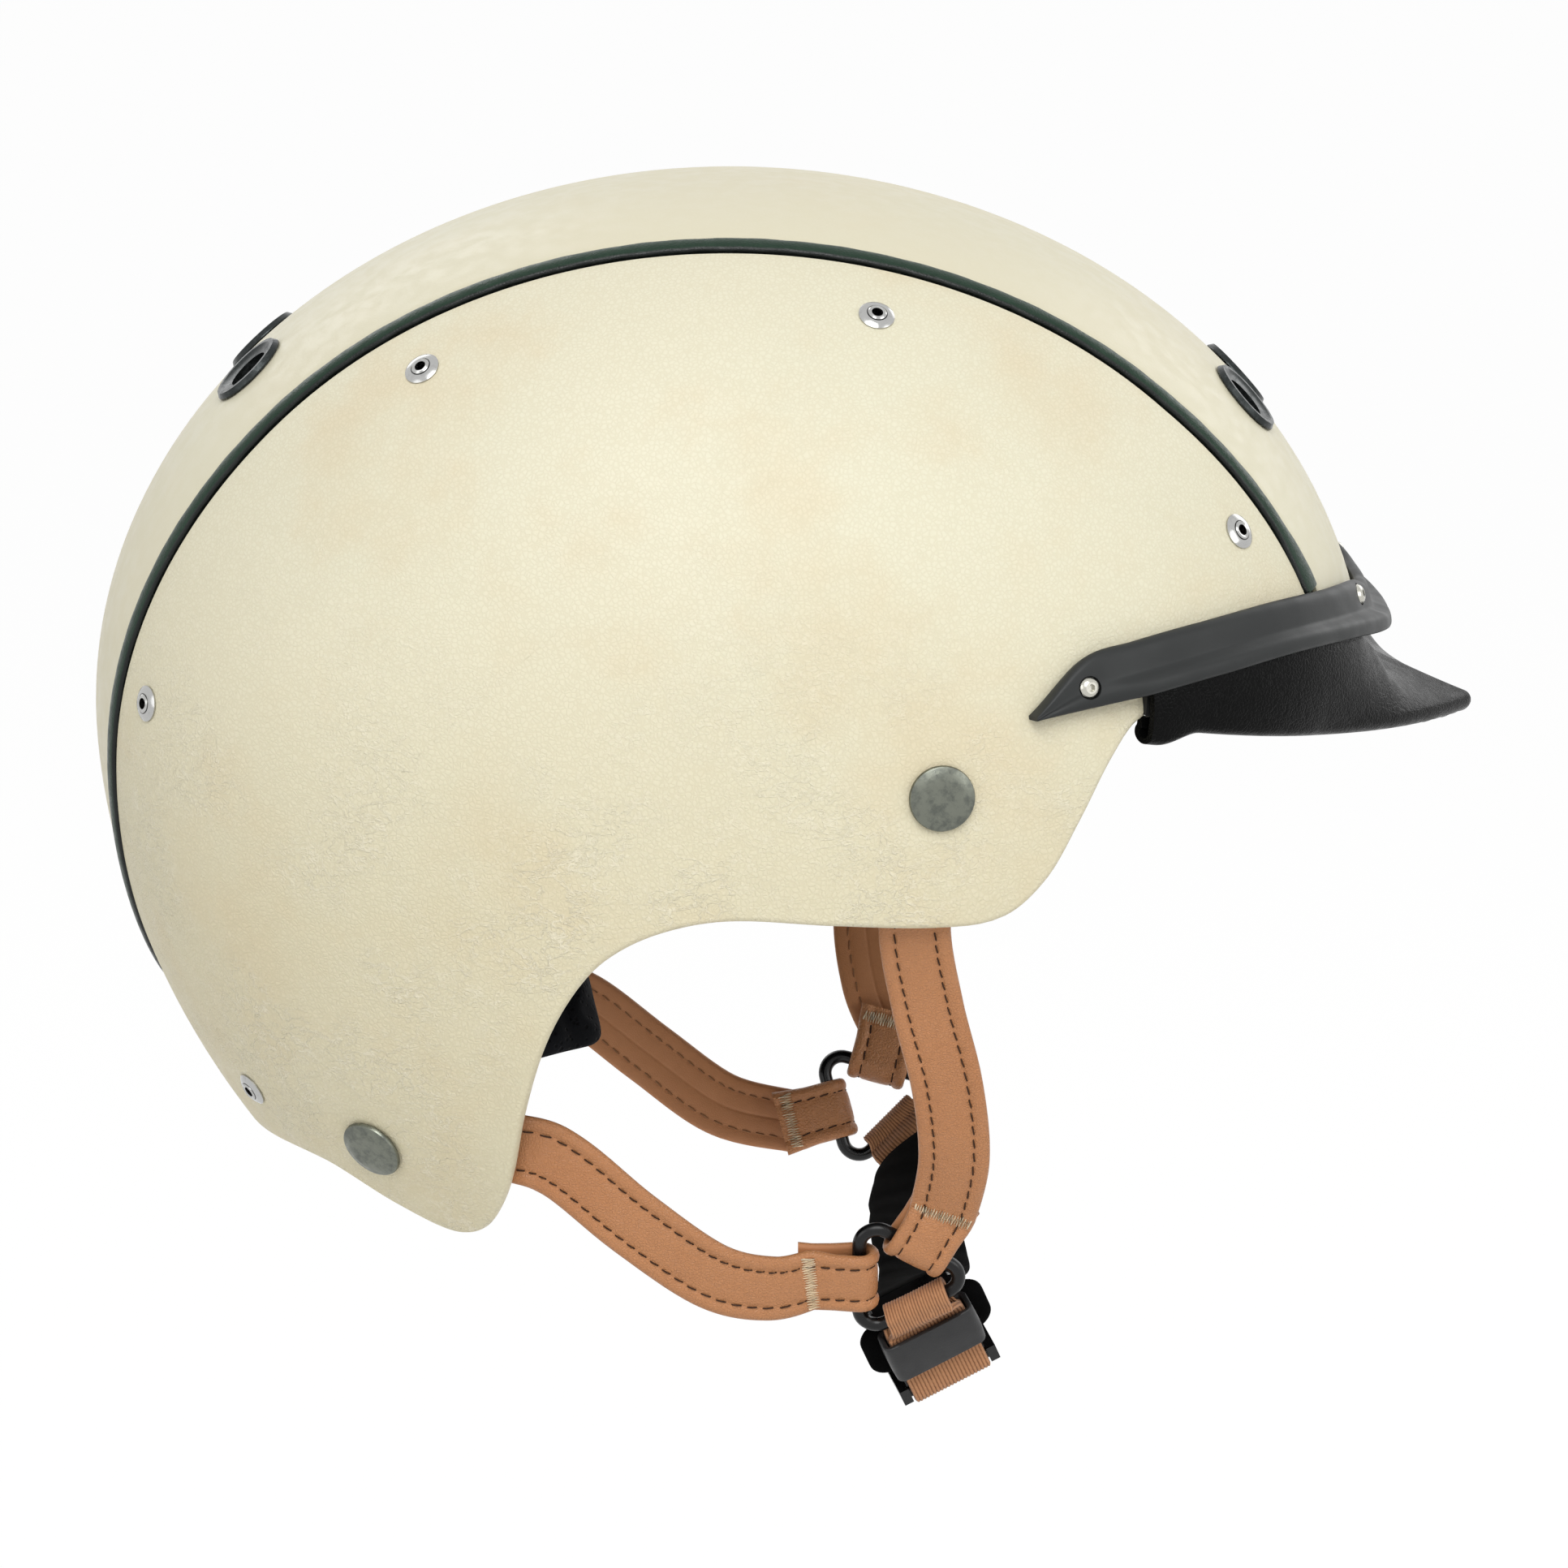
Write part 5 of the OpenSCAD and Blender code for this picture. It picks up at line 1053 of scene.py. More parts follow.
ANCHORS = {"front": (44.0, -2.9), "rear": (-75.0, -84.4)}
EXITS = {"front": (39.8, -31.0), "rear": (-47.0, -86.0)}
BOWS = {
    ("front", RIGHT): [[0.28, 1, 1, 0], [0.55, 3.6, 3.2, 0], [0.8, 3.6, 3.8, 0]],
    ("front", LEFT): [[0.3, -4, 0.5, 0], [0.6, -6.5, 0.5, 0], [0.85, -4, 0.5, 0]],
    ("rear", RIGHT): [[0.16, 0, 1, 1], [0.4, 0, 2.4, -4.5], [0.66, 0, 3, -8.5], [0.86, 0, 2, -6]],
    ("rear", LEFT): [[0.18, 0, 1, 1.5], [0.44, 0, 2.4, -2.5], [0.72, 0, 2.4, -5.5]],
}


def strap_path(place, side):
    """Points and width directions of a strap, as the frame routes it, and where it turns at the ring."""
    anchor = side_point(*ANCHORS[place], side)
    exit_at = side_point(*EXITS[place], side)
    exit_at = exit_at - STRAP_DEPTH * outward(exit_at)
    if place == "rear":
        exit_at = exit_at - vec(0, side * 1.5, 0)
        wide = square_to([0, 0, 1], unit(exit_at - anchor))
    else:
        wide = vec(1, 0, 0)
    angle = FRONT_SIDE if place == "front" else REAR_SIDE
    bar, way, out = ring_bar(side, angle), ring_way(side, angle), ring_out(side)
    bar_wide = np.cross(way, out)
    turn_wide = -bar_wide if bar_wide @ wide < 0 else bar_wide
    r = RING_WIRE_D / 2 + 0.35 + STRAP_T / 2
    near = STRAP_T / 2 + 0.2
    n = outward(anchor)
    seat = anchor - STRAP_DEPTH * n
    away = square_to(exit_at - seat, n)
    across = np.cross(away, n)
    if across @ wide < 0:
        across = -across
    join, folded = bar + 10 * way, bar + 5.5 * way
    joined_w = mix(STRAP_RING_W, STRAP_W, 0.6)

    def row(point, across_at, width):
        return np.concatenate([point, across_at, [width]])

    free = [row(mix(exit_at, join, b[0]) + vec(b[1], side * b[2], b[3]),
                mix(wide, turn_wide, b[0]), STRAP_W) for b in BOWS[place, side]]
    body = spline([
        row(seat + 8 * away, across, STRAP_W), row(exit_at, wide, STRAP_W), *free,
        row(join + near * out, turn_wide, joined_w),
    ], 8)
    start = [row(seat - 9 * away, across, STRAP_W), row(seat, across, STRAP_W)]
    loop = [row(folded + mix(near, r, 0.6) * out, turn_wide, STRAP_RING_W)]
    for b in np.arange(0, 181, 15):
        loop.append(row(bar + r * (cos_d(b) * out - sin_d(b) * way), turn_wide, STRAP_RING_W))
    loop.append(row(folded - mix(near, r, 0.6) * out, turn_wide, STRAP_RING_W))
    loop.append(row(join - near * out, turn_wide, joined_w))
    loop.append(row(bar + FOLD_L * way - near * out, turn_wide, STRAP_W))
    path = np.concatenate([start, body, loop])
    return path, bar, way, out


STITCH_ROW = 4.2
STITCH_PITCH = 3.1
TACK_REACH = 6.4
TACK_ZIGS = 42


def strap_profile():
    half = STRAP_W / 2
    top = [
        (0, 0.98), (1.6, 0.98), (3.2, 0.92), (3.9, 0.76), (4.2, 0.7), (4.5, 0.78), (5.2, 1.12),
        (6.0, 1.2), (6.8, 1.02), (7.3, 0.62), (half, 0.1), (half - 0.05, -0.4), (7.1, -0.85),
        (6.5, -1.05), (5.4, -1.08), (4.6, -1.0), (4.2, -0.9), (3.8, -1.0), (2.5, -1.08),
        (0.7, -1.08), (0.25, -0.98), (0, -0.86),
    ]
    left = [(-x, y) for x, y in top[1:-1]][::-1]
    return np.array(top + left)


def strap(place, side):
    name = f"{place}_strap_{'right' if side < 0 else 'left'}"
    path, bar, way, out = strap_path(place, side)
    path = even_steps(path, STRAP_STEP)
    points, wide, grow = path[:, :3], unit(path[:, 3:6]), path[:, 6] / STRAP_W
    profile = strap_profile()
    rings, wide, up = ribbon(points, wide, profile, grow)
    at_bar = np.argmin(np.linalg.norm(points - (bar + 9 * way + 1.4 * out), axis=1))
    flip = np.sign(up[at_bar] @ out)
    if flip < 0:
        rings, wide, up = ribbon(points, -wide, profile, grow)
    rng = np.random.default_rng(7 + (side > 0) + 2 * (place == "rear"))
    # Soft unevenness of the strap's rolled edges along its length
    sway = np.interp(np.arange(len(points)), np.linspace(0, len(points), 14), rng.normal(0, 0.12, 14))
    rings = rings + (sway * 0.8)[:, None, None] * up[:, None] * (np.abs(profile[:, 0]) > 5)[None, :, None]
    obj = tube(name + "_leather", rings, ["strap_leather", "strap_lining"], sharp=70)
    count = len(profile)
    for poly in obj.data.polygons:
        index = [v % count for v in poly.vertices]
        if all(profile[i, 1] < -0.3 for i in index):
            poly.material_index = 1
    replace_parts(obj, name)
    # Slightly slanted stitches in two rows on both faces
    length = np.concatenate([[0], np.cumsum(np.linalg.norm(np.diff(points, axis=0), axis=1))])

    def sewn(rows, face, height, slant):
        parts = []
        for row in rows:
            for s in np.arange(2.0, length[-1] - 3.0, STITCH_PITCH):
                ends = []
                for q, shift in ((s, -slant), (s + 2.2, slant)):
                    k = np.interp(q, length, np.arange(len(points)))
                    i = int(k)
                    j = min(i + 1, len(points) - 1)
                    p, w, u = (mix(v[i], v[j], k - i) for v in (points, wide, up))
                    across = (row + shift) * mix(grow[i], grow[j], k - i)
                    ends.append((p + across * w + face * height * u, face * u))
                parts.append(stitch(ends[0][0], ends[1][0], ends[0][1], 0.17))
        return parts

    rows = (-STITCH_ROW, STITCH_ROW)
    joined(name + "_stitches", sewn(rows, 1, 0.84, 0.12), "thread_dark")
    joined(name + "_lining_stitches", sewn(rows, -1, 1.02, 0.12), "thread_tan")
    bar_tack(name, points, wide * grow[:, None], up, bar + 10.0 * way, length)


def bar_tack(name, points, wide, up, place, length):
    """Zigzag stitching across the strap where its folded end is sewn down, on both layers."""
    on_way = np.argsort(np.linalg.norm(points - place, axis=1))
    first = on_way[0]
    apart = [k for k in on_way if abs(length[k] - length[first]) > 12]
    second = apart[0]
    parts = []
    for centre in (min(first, second), max(first, second)):
        if np.linalg.norm(points[centre] - place) > 4:
            continue
        along = unit(points[min(centre + 1, len(points) - 1)] - points[centre - 1])
        rng = np.random.default_rng(centre)
        for layer in range(3):
            zig = []
            for k in range(TACK_ZIGS + 1):
                x = mix(-TACK_REACH, TACK_REACH, k / TACK_ZIGS)
                y = (1.2 if k % 2 else -1.2) + rng.normal(0, 0.2)
                h = np.interp(abs(x), [0, 3.2, 4.2, 5.2, 6.2, 7.0], [1.06, 1.02, 0.92, 1.14, 1.25, 0.85])
                zig.append(points[centre] + x * wide[centre] + y * along
                           + (h + 0.1 * layer) * up[centre])
            parts.append(cord_part(zig, 0.2, 5))
    joined(name + "_bar_tack", parts, "thread_light")


# Webbing, keeper, buckle and sleeve

BUCKLE_ORIGIN = ring_bar(RIGHT, CHIN_SIDE)
BUCKLE_DOWN = unit(vec(0.3, 0.55, -0.78))
BUCKLE_X = square_to([0.885, 0.13, 0.435], BUCKLE_DOWN)
BUCKLE_IN = np.cross(-BUCKLE_DOWN, BUCKLE_X)
BUCKLE_BAR_AT = -23.0
BUCKLE_BAR_D = 2.4


def in_buckle(p):
    """Points given in the buckle's own axes, in the frame's."""
    p = np.asarray(p, float)
    return (BUCKLE_ORIGIN + p[..., :1] * BUCKLE_X + p[..., 1:2] * BUCKLE_IN
            - p[..., 2:3] * BUCKLE_DOWN)


def ring_along(side, angle):
    return -ring_way(side, angle - 90)


def webbing_band(name, top, top_wide, top_r, bottom, bottom_wide, bottom_r):
    down = unit(bottom - top)
    long = np.linalg.norm(bottom - top)
    near = WEBBING_T / 2 + 0.2
    top_out = unit(np.cross(top_wide, down))
    bottom_out = unit(np.cross(bottom_wide, down))
    first = min(4.5, 0.45 * long)
    last = long - min(5, 0.4 * long)
    steps = [mix(first, last, k / 3) for k in range(4)]

    def layer(z, s):
        t = min(1, z / 5)
        out = unit(mix(top_out, bottom_out, t))
        width = mix(WEBBING_RING_W, WEBBING_W, t)
        return np.concatenate([top + z * down + s * near * out, mix(top_wide, bottom_wide, t), [width]])

    reach = top_r + WEBBING_T / 2
    narrow, full = [WEBBING_RING_W], [WEBBING_W]
    rows = []
    for b in np.arange(-90, 91, 30):
        turn_at = top + reach * (sin_d(b) * top_out - cos_d(b) * down)
        rows.append(np.concatenate([turn_at, top_wide, narrow]))
    rows.append(np.concatenate([top + 1.8 * down + reach * top_out, top_wide, narrow]))
    rows += [layer(z, 1) for z in steps]
    reach_low = bottom_r + WEBBING_T / 2
    for b in np.arange(90, -91, -30):
        turn_at = bottom + reach_low * (sin_d(b) * bottom_out + cos_d(b) * down)
        rows.append(np.concatenate([turn_at, bottom_wide, full]))
    rows += [layer(z, -1) for z in steps[::-1]]
    rows.append(np.concatenate([top + 1.8 * down - reach * top_out, top_wide, narrow]))
    path = spline(rows, 6, closed=True)
    path = even_steps(np.concatenate([path, path[:1]]), 0.28)[:-1]
    points, wide, grow = path[:, :3], path[:, 3:6], path[:, 6:7] / WEBBING_W
    along = unit(np.roll(points, -1, axis=0) - np.roll(points, 1, axis=0))
    wide = square_to(wide, along)
    up = np.cross(along, wide)
    # Ribs along the webbing, with a plain selvedge at both sides
    half = WEBBING_W / 2
    x = np.concatenate([np.linspace(-half, half, 129), np.linspace(half, -half, 129)])
    s = np.concatenate([np.ones(129), -np.ones(129)])
    rib = np.abs(np.sin(math.pi * (x + half) / WEBBING_RIB))
    edge = np.clip((half - np.abs(x)) / 0.5, 0, 1) ** 0.5
    weft = 0.5 + 0.5 * np.sin(np.arange(len(points)) * math.pi / 2)[:, None]
    offset = np.floor((x + half) / WEBBING_RIB) % 2
    weft = np.abs(weft - offset[None])
    rise = (0.48 + 0.2 * rib[None] + 0.07 * weft * rib[None]) * edge[None]
    rings = (points[:, None] + (x[None] * grow)[:, :, None] * wide[:, None]
             + (s[None] * rise)[:, :, None] * up[:, None])
    # Depth between the ribs, for the painted shade in the grooves
    groove_shade = 1 - np.clip(rib[None] * (0.75 + 0.25 * weft), 0, 1)
    obj = tube(name + "_weave", rings, "webbing", closed=True, sharp=80,
               values={"groove_shade": groove_shade})
    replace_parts(obj, name)


def box_loop(x, y, r, steps=10):
    """Points and outward directions round a rectangle with rounded corners."""
    points, normals = [], []
    for cx, cy, start in ((x - r, y - r, 0), (r - x, y - r, 90), (r - x, r - y, 180), (x - r, r - y, 270)):
        for b in np.linspace(start, start + 90, steps):
            normals.append([cos_d(b), sin_d(b)])
            points.append([cx + r * cos_d(b), cy + r * sin_d(b)])
    loop = np.array(points)
    both = np.concatenate([loop, np.array(normals)], axis=1)
    dense = []
    for k in range(len(both)):
        a, b = both[k], both[(k + 1) % len(both)]
        gap = np.linalg.norm(b[:2] - a[:2])
        pieces = max(1, int(gap / 0.8))
        for i in range(pieces):
            dense.append(mix(a, b, i / pieces))
    dense = np.array(dense)
    return dense[:, :2], unit(dense[:, 2:])


def strap_keeper():
    x = WEBBING_W / 2 + KEEPER_GAP
    y = WEBBING_T + 0.2 + KEEPER_GAP
    points, normals = box_loop(x + KEEPER_WALL * 0.5, y + KEEPER_WALL * 0.5, KEEPER_WALL)
    half = KEEPER_WALL / 2 - 0.02
    low, high = KEEPER_TOP - KEEPER_L, KEEPER_TOP
    profile = []
    for z in np.linspace(0, 1, 15):
        swell = 0.22 * math.sin(math.pi * z) - 0.1
        profile.append((half + swell, mix(low + 0.45, high - 0.45, z)))
    profile += [(half * 0.75, high - 0.1), (0, high), (-half, high - 0.3), (-half, mix(low, high, 0.5)),
                (-half, low + 0.3), (0, low), (half * 0.75, low + 0.1)]
    profile = np.array(profile)
    # The face on the outside bulges a little
    rings = []
    for p, n in zip(points, normals):
        bulge = 0.12 * max(0.0, -n[1]) * math.cos(math.pi * p[0] / (2.4 * x))
        grow = np.where(profile[:, 0] > 0, profile[:, 0] + bulge, profile[:, 0])
        local = np.stack([p[0] + n[0] * grow, p[1] + n[1] * grow, profile[:, 1]], axis=1)
        rings.append(in_buckle(local))
    obj = tube("strap_keeper_leather", rings, "keeper_leather", "keeper",
               closed=True, sharp=70)
    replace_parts(obj, "strap_keeper")


def sleeve_rows():
    plate_y = CHIN_PAD_Y + CHIN_PAD_T + 0.3
    tongue_y = plate_y + BUCKLE_T + BUCKLE_GAP
    start = BUCKLE_ORIGIN + (tongue_y + TONGUE_T + 0.35) * BUCKLE_IN + (-6 - 11) * -BUCKLE_DOWN
    left_origin = ring_bar(LEFT, CHIN_SIDE)
    left_x = ring_along(LEFT, CHIN_SIDE)
    left_down = square_to([0.2, -0.93, -0.3], left_x)
    end = left_origin + (LEFT_LOOP_L + 3.2) * left_down
    rows = [
        (start, BUCKLE_X), (start + 3.5 * BUCKLE_IN, BUCKLE_X), (start + 7 * BUCKLE_IN, BUCKLE_X),
        (vec(42.5, -18, -126), vec(0.99, 0, 0.15)), (vec(41, 10, -123.3), vec(0.98, 0, 0.2)),
        (vec(40.5, 34, -120.8), vec(0.94, 0, 0.34)), (end + left_down, left_x), (end, left_x),
    ]
    return rows, left_origin, left_x, left_down


def chin_sleeve():
    rows = sleeve_rows()[0]
    path = spline([np.concatenate(r) for r in rows[:-1]], 10)
    path = even_steps(path, 1.0)
    points = path[:, :3]
    turn = np.arange(56) * 360 / 56
    c, s = cos_d(turn), sin_d(turn)
    across = np.sign(c) * np.abs(c) ** 0.55
    up_by = np.sign(s) * np.abs(s) ** 0.75
    profile = np.stack([across * SLEEVE_W / 2, up_by * SLEEVE_T / 2], axis=1)
    rings, wide, up = ribbon(points, path[:, 3:], profile)
    k = np.arange(len(points))
    rng = np.random.default_rng(3)
    wave = np.interp(k, np.linspace(0, len(k), 24), rng.normal(0, 0.16, 24))
    lean = np.interp(k, np.linspace(0, len(k), 18), rng.normal(0, 0.25, 18))
    ripple = 0.1 * np.sin(k[:, None] * 0.55 + 3.0 * across[None] + 2 * wave[:, None])
    end_in = 1 - 0.1 * np.exp(-k / 2.0) - 0.1 * np.exp(-(len(k) - 1 - k) / 2.0)
    rings = points[:, None] + (rings - points[:, None]) * end_in[:, None, None]
    rings = rings + (ripple + wave[:, None] * 0.5)[:, :, None] * up_by[None, :, None] * up[:, None]
    rings = rings + (lean[:, None] * across[None])[:, :, None] * 0.5 * wide[:, None]
    obj = tube("chin_sleeve_velour", rings, "sleeve_velour", sharp=80)
    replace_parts(obj, "chin_sleeve")


def chin_pad():
    """Velour pad behind the keeper, with a soft rounded edge."""
    low, high = KEEPER_TOP - KEEPER_L - 3.6, KEEPER_TOP + 1.2
    loop, normals = box_loop(CHIN_PAD_W / 2, (high - low) / 2, 5.0)
    rings = []
    for inset, depth in ((4.6, 0.0), (2.6, 0.0), (1.1, 0.06), (0.35, 0.22), (0.02, 0.5), (0.02, 1.1),
                         (0.35, 1.38), (1.1, 1.54), (2.6, 1.6), (4.6, 1.6)):
        flat = loop - inset * normals
        local = np.stack([flat[:, 0], np.full(len(flat), CHIN_PAD_Y + depth),
                          flat[:, 1] + (low + high) / 2], axis=1)
        rings.append(in_buckle(local))
    obj = tube("chin_pad_velour", rings, "sleeve_velour", sharp=80)
    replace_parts(obj, "chin_pad")


# Comfort pads

PADS = {
    "forehead_pad": ((-48, 48), (62, 78), False, (5, 0)),
    "crown_pad": ((66, 122), (74, 106), True, (2, 0)),
    "side_pad_right": ((-106, -70), (60, 92), False, (0, 2)),
    "side_pad_left": ((70, 106), (60, 92), False, (0, 2)),
    "rear_pad": ((161, 199), (66, 84), False, (3, 0)),
    "nape_pad_right": ((-148, -131), (130.5, 140), False, (1, 0)),
    "nape_pad_left": ((118, 140), (134, 146), False, (2, 0)),
}
PAD_STEP = 2.4


def pad(name, azimuths, polars, sideways, channels):
    """A foam pad in mesh fabric, swollen between its edge and its sewn channels."""

    def place(u, v):
        d = direction(mix(azimuths[0], azimuths[1], u), mix(polars[0], polars[1], v))
        return d[..., [0, 2, 1]] if sideways else d

    def layer(u, v, depth):
        depth = tuple(d + PAD_GAP + depth for d in LINER_DEPTH)
        return on_surface(place(u, v), depth)

    corners = layer(np.array([0, 1, 0.5, 0.5]), np.array([0.5, 0.5, 0, 1]), 0.0)
    cols = max(8, int(np.linalg.norm(corners[1] - corners[0]) * 1.15 / PAD_STEP))
    rows = max(6, int(np.linalg.norm(corners[3] - corners[2]) / PAD_STEP))
    u, v = np.meshgrid(np.linspace(0, 1, cols + 1), np.linspace(0, 1, rows + 1))
    # Rounded corners: the grid draws in where both edges are near
    x, y = 2 * u - 1, 2 * v - 1
    ratio = cols / rows
    round_x = np.clip((np.abs(x) - 1 + 0.5 / ratio) * 2 * ratio, 0, 1)
    round_y = np.clip((np.abs(y) - 0.5) * 2, 0, 1)
    pull = 1 - 0.09 * (round_x * round_y) ** 2
    u, v = 0.5 + x * (1 - (1 - pull) / ratio) / 2, 0.5 + y * (1 - 1.6 * (1 - pull)) / 2
    edge = np.minimum(np.minimum(np.arange(cols + 1), cols - np.arange(cols + 1))[None],
                      np.minimum(np.arange(rows + 1), rows - np.arange(rows + 1))[:, None])
    swell = np.clip(edge / 2.2, 0, 1) ** 0.6
    seams = np.zeros_like(swell)
    for count, size, axis in ((channels[0], cols, 1), (channels[1], rows, 0)):
        for k in range(count):
            at = int(round(size * (k + 1) / (count + 1)))
            line = (np.arange(size + 1) == at).astype(float)
            seams = np.maximum(seams, (line[None] if axis == 1 else line[:, None]) * np.ones_like(seams))
    seams *= edge > 0
    low = layer(u, v, 0.0)
    high = layer(u, v, 1.0 + (PAD_T - 2.6) * swell * (1 - 0.6 * seams))
    size = (rows + 1) * (cols + 1)
    index = np.arange(size).reshape(rows + 1, cols + 1)
    a, b, c, d = index[:-1, :-1], index[:-1, 1:], index[1:, 1:], index[1:, :-1]
    quads = np.stack([a, b, c, d], axis=-1).reshape(-1, 4)
    border = np.concatenate([index[0, :-1], index[:-1, -1], index[-1, :0:-1], index[:0:-1, 0]])
    after = np.roll(border, -1)
    wall = np.stack([border, border + size, after + size, after], axis=1)
    faces = quads.tolist() + (quads[:, ::-1] + size).tolist() + wall.tolist()
    points = np.concatenate([low.reshape(-1, 3), high.reshape(-1, 3)])
    obj = add_mesh(name + "_cushion", points, faces, "pad_fabric", sharp=80)
    held = np.concatenate([np.ones(size), np.maximum(seams, edge == 0).ravel()])
    inflate(obj, held)
    finer = obj.modifiers.new("finer", "SUBSURF")
    finer.levels = finer.render_levels = 1
    apply_modifiers(obj)
    obj.data.shade_smooth()
    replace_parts(obj, name)
    add_seams(name, seams, high, rows, cols)


PAD_CLOTH = {
    "quality": 4, "mass": 0.2, "tension_stiffness": 12, "compression_stiffness": 12,
    "shear_stiffness": 6, "bending_stiffness": 0.3, "use_pressure": True,
    "uniform_pressure_force": 4, "shrink_min": -0.12, "vertex_group_mass": "held",
    "pin_stiffness": 1,
}
CLOTH_STEPS = 14


def inflate(obj, held, limit=1.6):
    """Swells a pad with cloth, with its back, edge and channels held."""
    start = np.array([v.co[:] for v in obj.data.vertices])
    group = obj.vertex_groups.new(name="held")
    group.add([int(i) for i in np.flatnonzero(held > 0.5)], 1.0, "REPLACE")
    cloth = obj.modifiers.new("cloth", "CLOTH")
    for key, value in PAD_CLOTH.items():
        setattr(cloth.settings, key, value)
    cloth.settings.effector_weights.gravity = 0
    cloth.collision_settings.use_collision = False
    cloth.point_cache.frame_start = 1
    cloth.point_cache.frame_end = CLOTH_STEPS
    scene = bpy.context.scene
    for step in range(1, CLOTH_STEPS + 1):
        scene.frame_set(step)
    graph = bpy.context.evaluated_depsgraph_get()
    swollen = obj.evaluated_get(graph).to_mesh()
    end = np.array([v.co[:] for v in swollen.vertices])
    obj.modifiers.clear()
    obj.vertex_groups.clear()
    scene.frame_set(1)
    move = end - start
    size = np.linalg.norm(move, axis=1, keepdims=True)
    move *= np.minimum(1, limit * MM / np.maximum(size, 1e-9))
    move[held > 0.5] = 0
    for v, p in zip(obj.data.vertices, start + move):
        v.co = p
    obj.data.update()


def add_seams(name, seams, high, rows, cols):
    """Stitches along a pad's channels."""
    parts = []
    lines = []
    for j in range(1, cols):
        if seams[rows // 2, j] > 0 and seams[max(1, rows // 2 - 1), j] > 0 and seams[:, j].sum() > rows / 2:
            lines.append(high[1:-1, j])
    for i in range(1, rows):
        if seams[i, :].sum() > cols / 2:
            lines.append(high[i, 1:-1])
    for line in lines:
        line = even_steps(line, 0.5)
        inside = unit(-line)
        for k in range(0, len(line) - 5, 7):
            parts.append(stitch(line[k], line[k + 4], inside[k], 0.2))
    if parts:
        joined(name + "_stitches", parts, "thread_black")


# Nodes of the frame that stay, with their finish

KEPT = {
    "hard_shell": "shell_plastic", "foam_liner": "liner_foam",
    "front_vent_grommets": "vent_metal", "rear_vent_grommets": "vent_metal",
    "eyelet_washers": "eyelet_metal", "eyelet_rivets": "eyelet_metal",
    "anchor_caps": "cap_metal", "anchor_posts": "inner_steel", "anchor_washers": "inner_steel",
    "holder_screws": "screw_steel", "holder_nuts": "nut_brass", "peak_board": "board_plastic",
    "buckle_body": "buckle_plastic", "buckle_tongue": "buckle_plastic",
    "buckle_body_magnets": "magnet_nickel", "buckle_tongue_magnets": "magnet_nickel",
    "fit_cradle": "fit_plastic", "cradle_cover": "fit_plastic", "cradle_screws": "screw_steel",
    "fit_arm_right": "fit_plastic", "fit_arm_left": "fit_plastic", "dial_shaft": "dial_nylon",
    "dial_knob": "dial_rubber", "dial_screw": "screw_steel", "detent_spring": "screw_steel",
    "arm_pegs": "fit_plastic",
}


def dress_kept_nodes():
    for name, finish in KEPT.items():
        node = frame["nodes"][name]
        node.data.materials.clear()
        node.data.materials.append(MATERIALS[finish])
        normals = node.data.attributes.get("custom_normal")
        if normals:
            node.data.attributes.remove(normals)
        node.data.shade_smooth()
        weld = node.modifiers.new("weld", "WELD")
        weld.merge_threshold = 1e-6
        split = node.modifiers.new("edges", "EDGE_SPLIT")
        split.split_angle = math.radians(28)


# Floor, light and camera, in metres

FLOOR_REACH = 60.0
FLOOR_AT = -0.45
CAMERA_TARGET = (0.01174, 0.0, -0.02012)
CAMERA_DISTANCE = 1.6
CAMERA_RISE = 11
CAMERA_LENS = 167.55
LAMPS_MIDDLE = Vector((0.0, 0.0, -0.02))
# Name, way, distance, width and watts
LAMPS = (
    ("key", (0.0, -0.95, 0.85), 1.9, 1.3, 20),
    ("fill_left", (-1.0, -0.7, 0.25), 2.0, 1.2, 4),
    ("fill_right", (1.0, -0.6, 0.4), 2.0, 1.2, 7),
    ("back_left", (-0.6, 1.0, 0.8), 2.0, 1.2, 5),
    ("back_right", (0.9, 0.9, 0.6), 2.0, 1.2, 5),
)


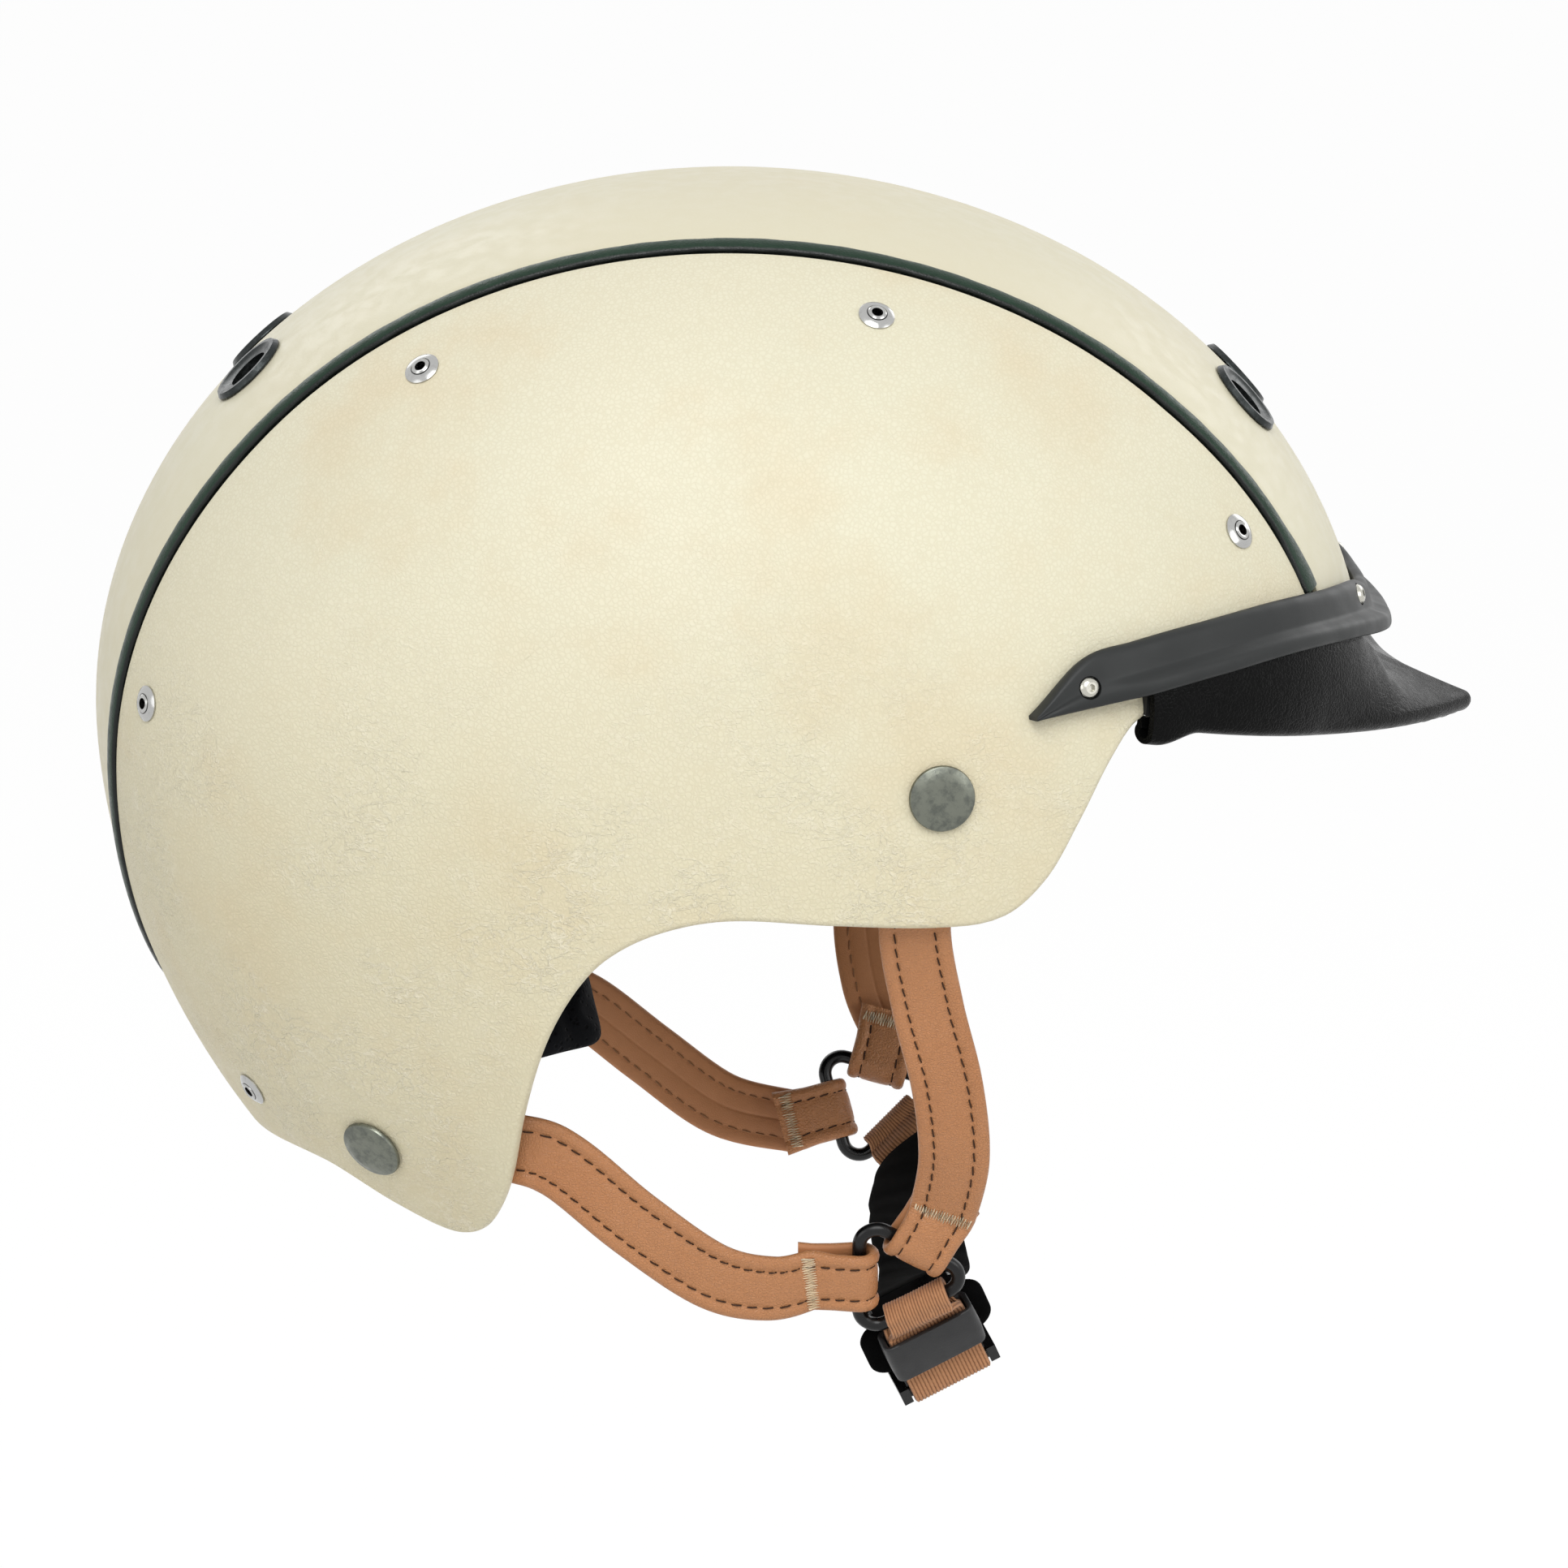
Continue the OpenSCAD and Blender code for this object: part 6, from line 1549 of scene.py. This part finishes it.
def stage_and_camera():
    scene = bpy.context.scene
    floor_mesh = bpy.data.meshes.new("floor")
    square = ((-1, -1), (1, -1), (1, 1), (-1, 1))
    corners = [(x * FLOOR_REACH, y * FLOOR_REACH, FLOOR_AT) for x, y in square]
    floor_mesh.from_pydata(corners, [], [(0, 1, 2, 3)])
    floor = bpy.data.objects.new("floor", floor_mesh)
    scene.collection.objects.link(floor)
    paint = bpy.data.materials.new("floor_paint")
    paint.use_nodes = True
    nodes, links = paint.node_tree.nodes, paint.node_tree.links
    nodes.clear()
    out = plain_node(nodes, "OutputMaterial")
    matte = plain_node(nodes, "BsdfDiffuse", Color=(0.9, 0.9, 0.9, 1))
    glow = plain_node(nodes, "Emission", Strength=1.03)
    both = plain_node(nodes, "MixShader")
    scaled = plain_node(nodes, "Math")
    scaled.operation = "MULTIPLY"
    scaled.inputs[1].default_value = 0.93
    links.new(seen_directly(nodes, links), scaled.inputs[0])
    links.new(scaled.outputs[0], both.inputs[0])
    links.new(matte.outputs[0], both.inputs[1])
    links.new(glow.outputs[0], both.inputs[2])
    links.new(both.outputs[0], out.inputs[0])
    floor_mesh.materials.append(paint)

    world = bpy.data.worlds.new("studio")
    scene.world = world
    world.use_nodes = True
    nodes, links = world.node_tree.nodes, world.node_tree.links
    nodes.clear()
    out = plain_node(nodes, "OutputWorld")
    ambient = plain_node(nodes, "Background", Color=(1.0, 0.99, 0.97, 1), Strength=0.38)
    white = plain_node(nodes, "Background", Color=(1, 1, 1, 1))
    both = plain_node(nodes, "MixShader")
    links.new(seen_directly(nodes, links), both.inputs[0])
    links.new(ambient.outputs[0], both.inputs[1])
    links.new(white.outputs[0], both.inputs[2])
    links.new(both.outputs[0], out.inputs[0])

    for lamp in LAMPS:
        add_lamp(*lamp)

    target = Vector(CAMERA_TARGET)
    rise = math.radians(CAMERA_RISE)
    camera_data = bpy.data.cameras.new("camera")
    camera = bpy.data.objects.new("camera", camera_data)
    scene.collection.objects.link(camera)
    camera_data.sensor_width = 36
    camera_data.lens = CAMERA_LENS
    camera.location = target + CAMERA_DISTANCE * Vector((0, -math.cos(rise), math.sin(rise)))
    camera.rotation_euler = (target - camera.location).to_track_quat("-Z", "Y").to_euler()
    scene.camera = camera
    scene.view_settings.view_transform = "Standard"


def plain_node(nodes, kind, **values):
    node = nodes.new("ShaderNode" + kind)
    for key, value in values.items():
        node.inputs[key].default_value = value
    return node


def seen_directly(nodes, links):
    """1 for what the camera, a gloss or glass sees, and 0 for the light that falls on things."""
    path = nodes.new("ShaderNodeLightPath")
    total = path.outputs["Is Camera Ray"]
    for name in ("Is Glossy Ray", "Is Transmission Ray"):
        most = nodes.new("ShaderNodeMath")
        most.operation = "MAXIMUM"
        links.new(total, most.inputs[0])
        links.new(path.outputs[name], most.inputs[1])
        total = most.outputs[0]
    return total


def add_lamp(name, way, distance, size, power):
    data = bpy.data.lights.new(name, "AREA")
    data.shape = "DISK"
    data.size = size
    data.energy = power
    lamp = bpy.data.objects.new(name, data)
    bpy.context.scene.collection.objects.link(lamp)
    lamp.location = LAMPS_MIDDLE + distance * Vector(way).normalized()
    lamp.rotation_euler = (LAMPS_MIDDLE - lamp.location).to_track_quat("-Z", "Y").to_euler()


# The whole helmet

stage_and_camera()
make_materials()
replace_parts(side_cover(RIGHT, "side_cover_right_leather"), "side_cover_right")
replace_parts(side_cover(LEFT, "side_cover_left_leather"), "side_cover_left")
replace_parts(crown_cover(), "crown_cover")
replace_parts(edge_piping(), "edge_piping")
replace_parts(peak_holder(), "peak_holder")
peak_stitches(peak())
for ring_side, ring_name in ((RIGHT, "strap_ring_right"), (LEFT, "strap_ring_left")):
    strap_ring(ring_side, ring_name)
for strap_place in ("front", "rear"):
    for strap_side in BOTH:
        strap(strap_place, strap_side)
webbing_band(
    "chin_webbing_right", BUCKLE_ORIGIN, ring_along(RIGHT, CHIN_SIDE), RING_WIRE_D / 2 + 0.5,
    BUCKLE_ORIGIN - BUCKLE_BAR_AT * BUCKLE_DOWN, BUCKLE_X, BUCKLE_BAR_D / 2 + 0.35,
)
LEFT_ORIGIN, LEFT_X, LEFT_DOWN = sleeve_rows()[1:]
webbing_band(
    "chin_webbing_left", LEFT_ORIGIN, LEFT_X, RING_WIRE_D / 2 + 0.35,
    LEFT_ORIGIN + LEFT_LOOP_L * LEFT_DOWN, LEFT_X, 0.4,
)
strap_keeper()
chin_pad()
chin_sleeve()
for pad_name, (pad_az, pad_pol, pad_sideways, pad_channels) in PADS.items():
    pad(pad_name, pad_az, pad_pol, pad_sideways, pad_channels)
dress_kept_nodes()
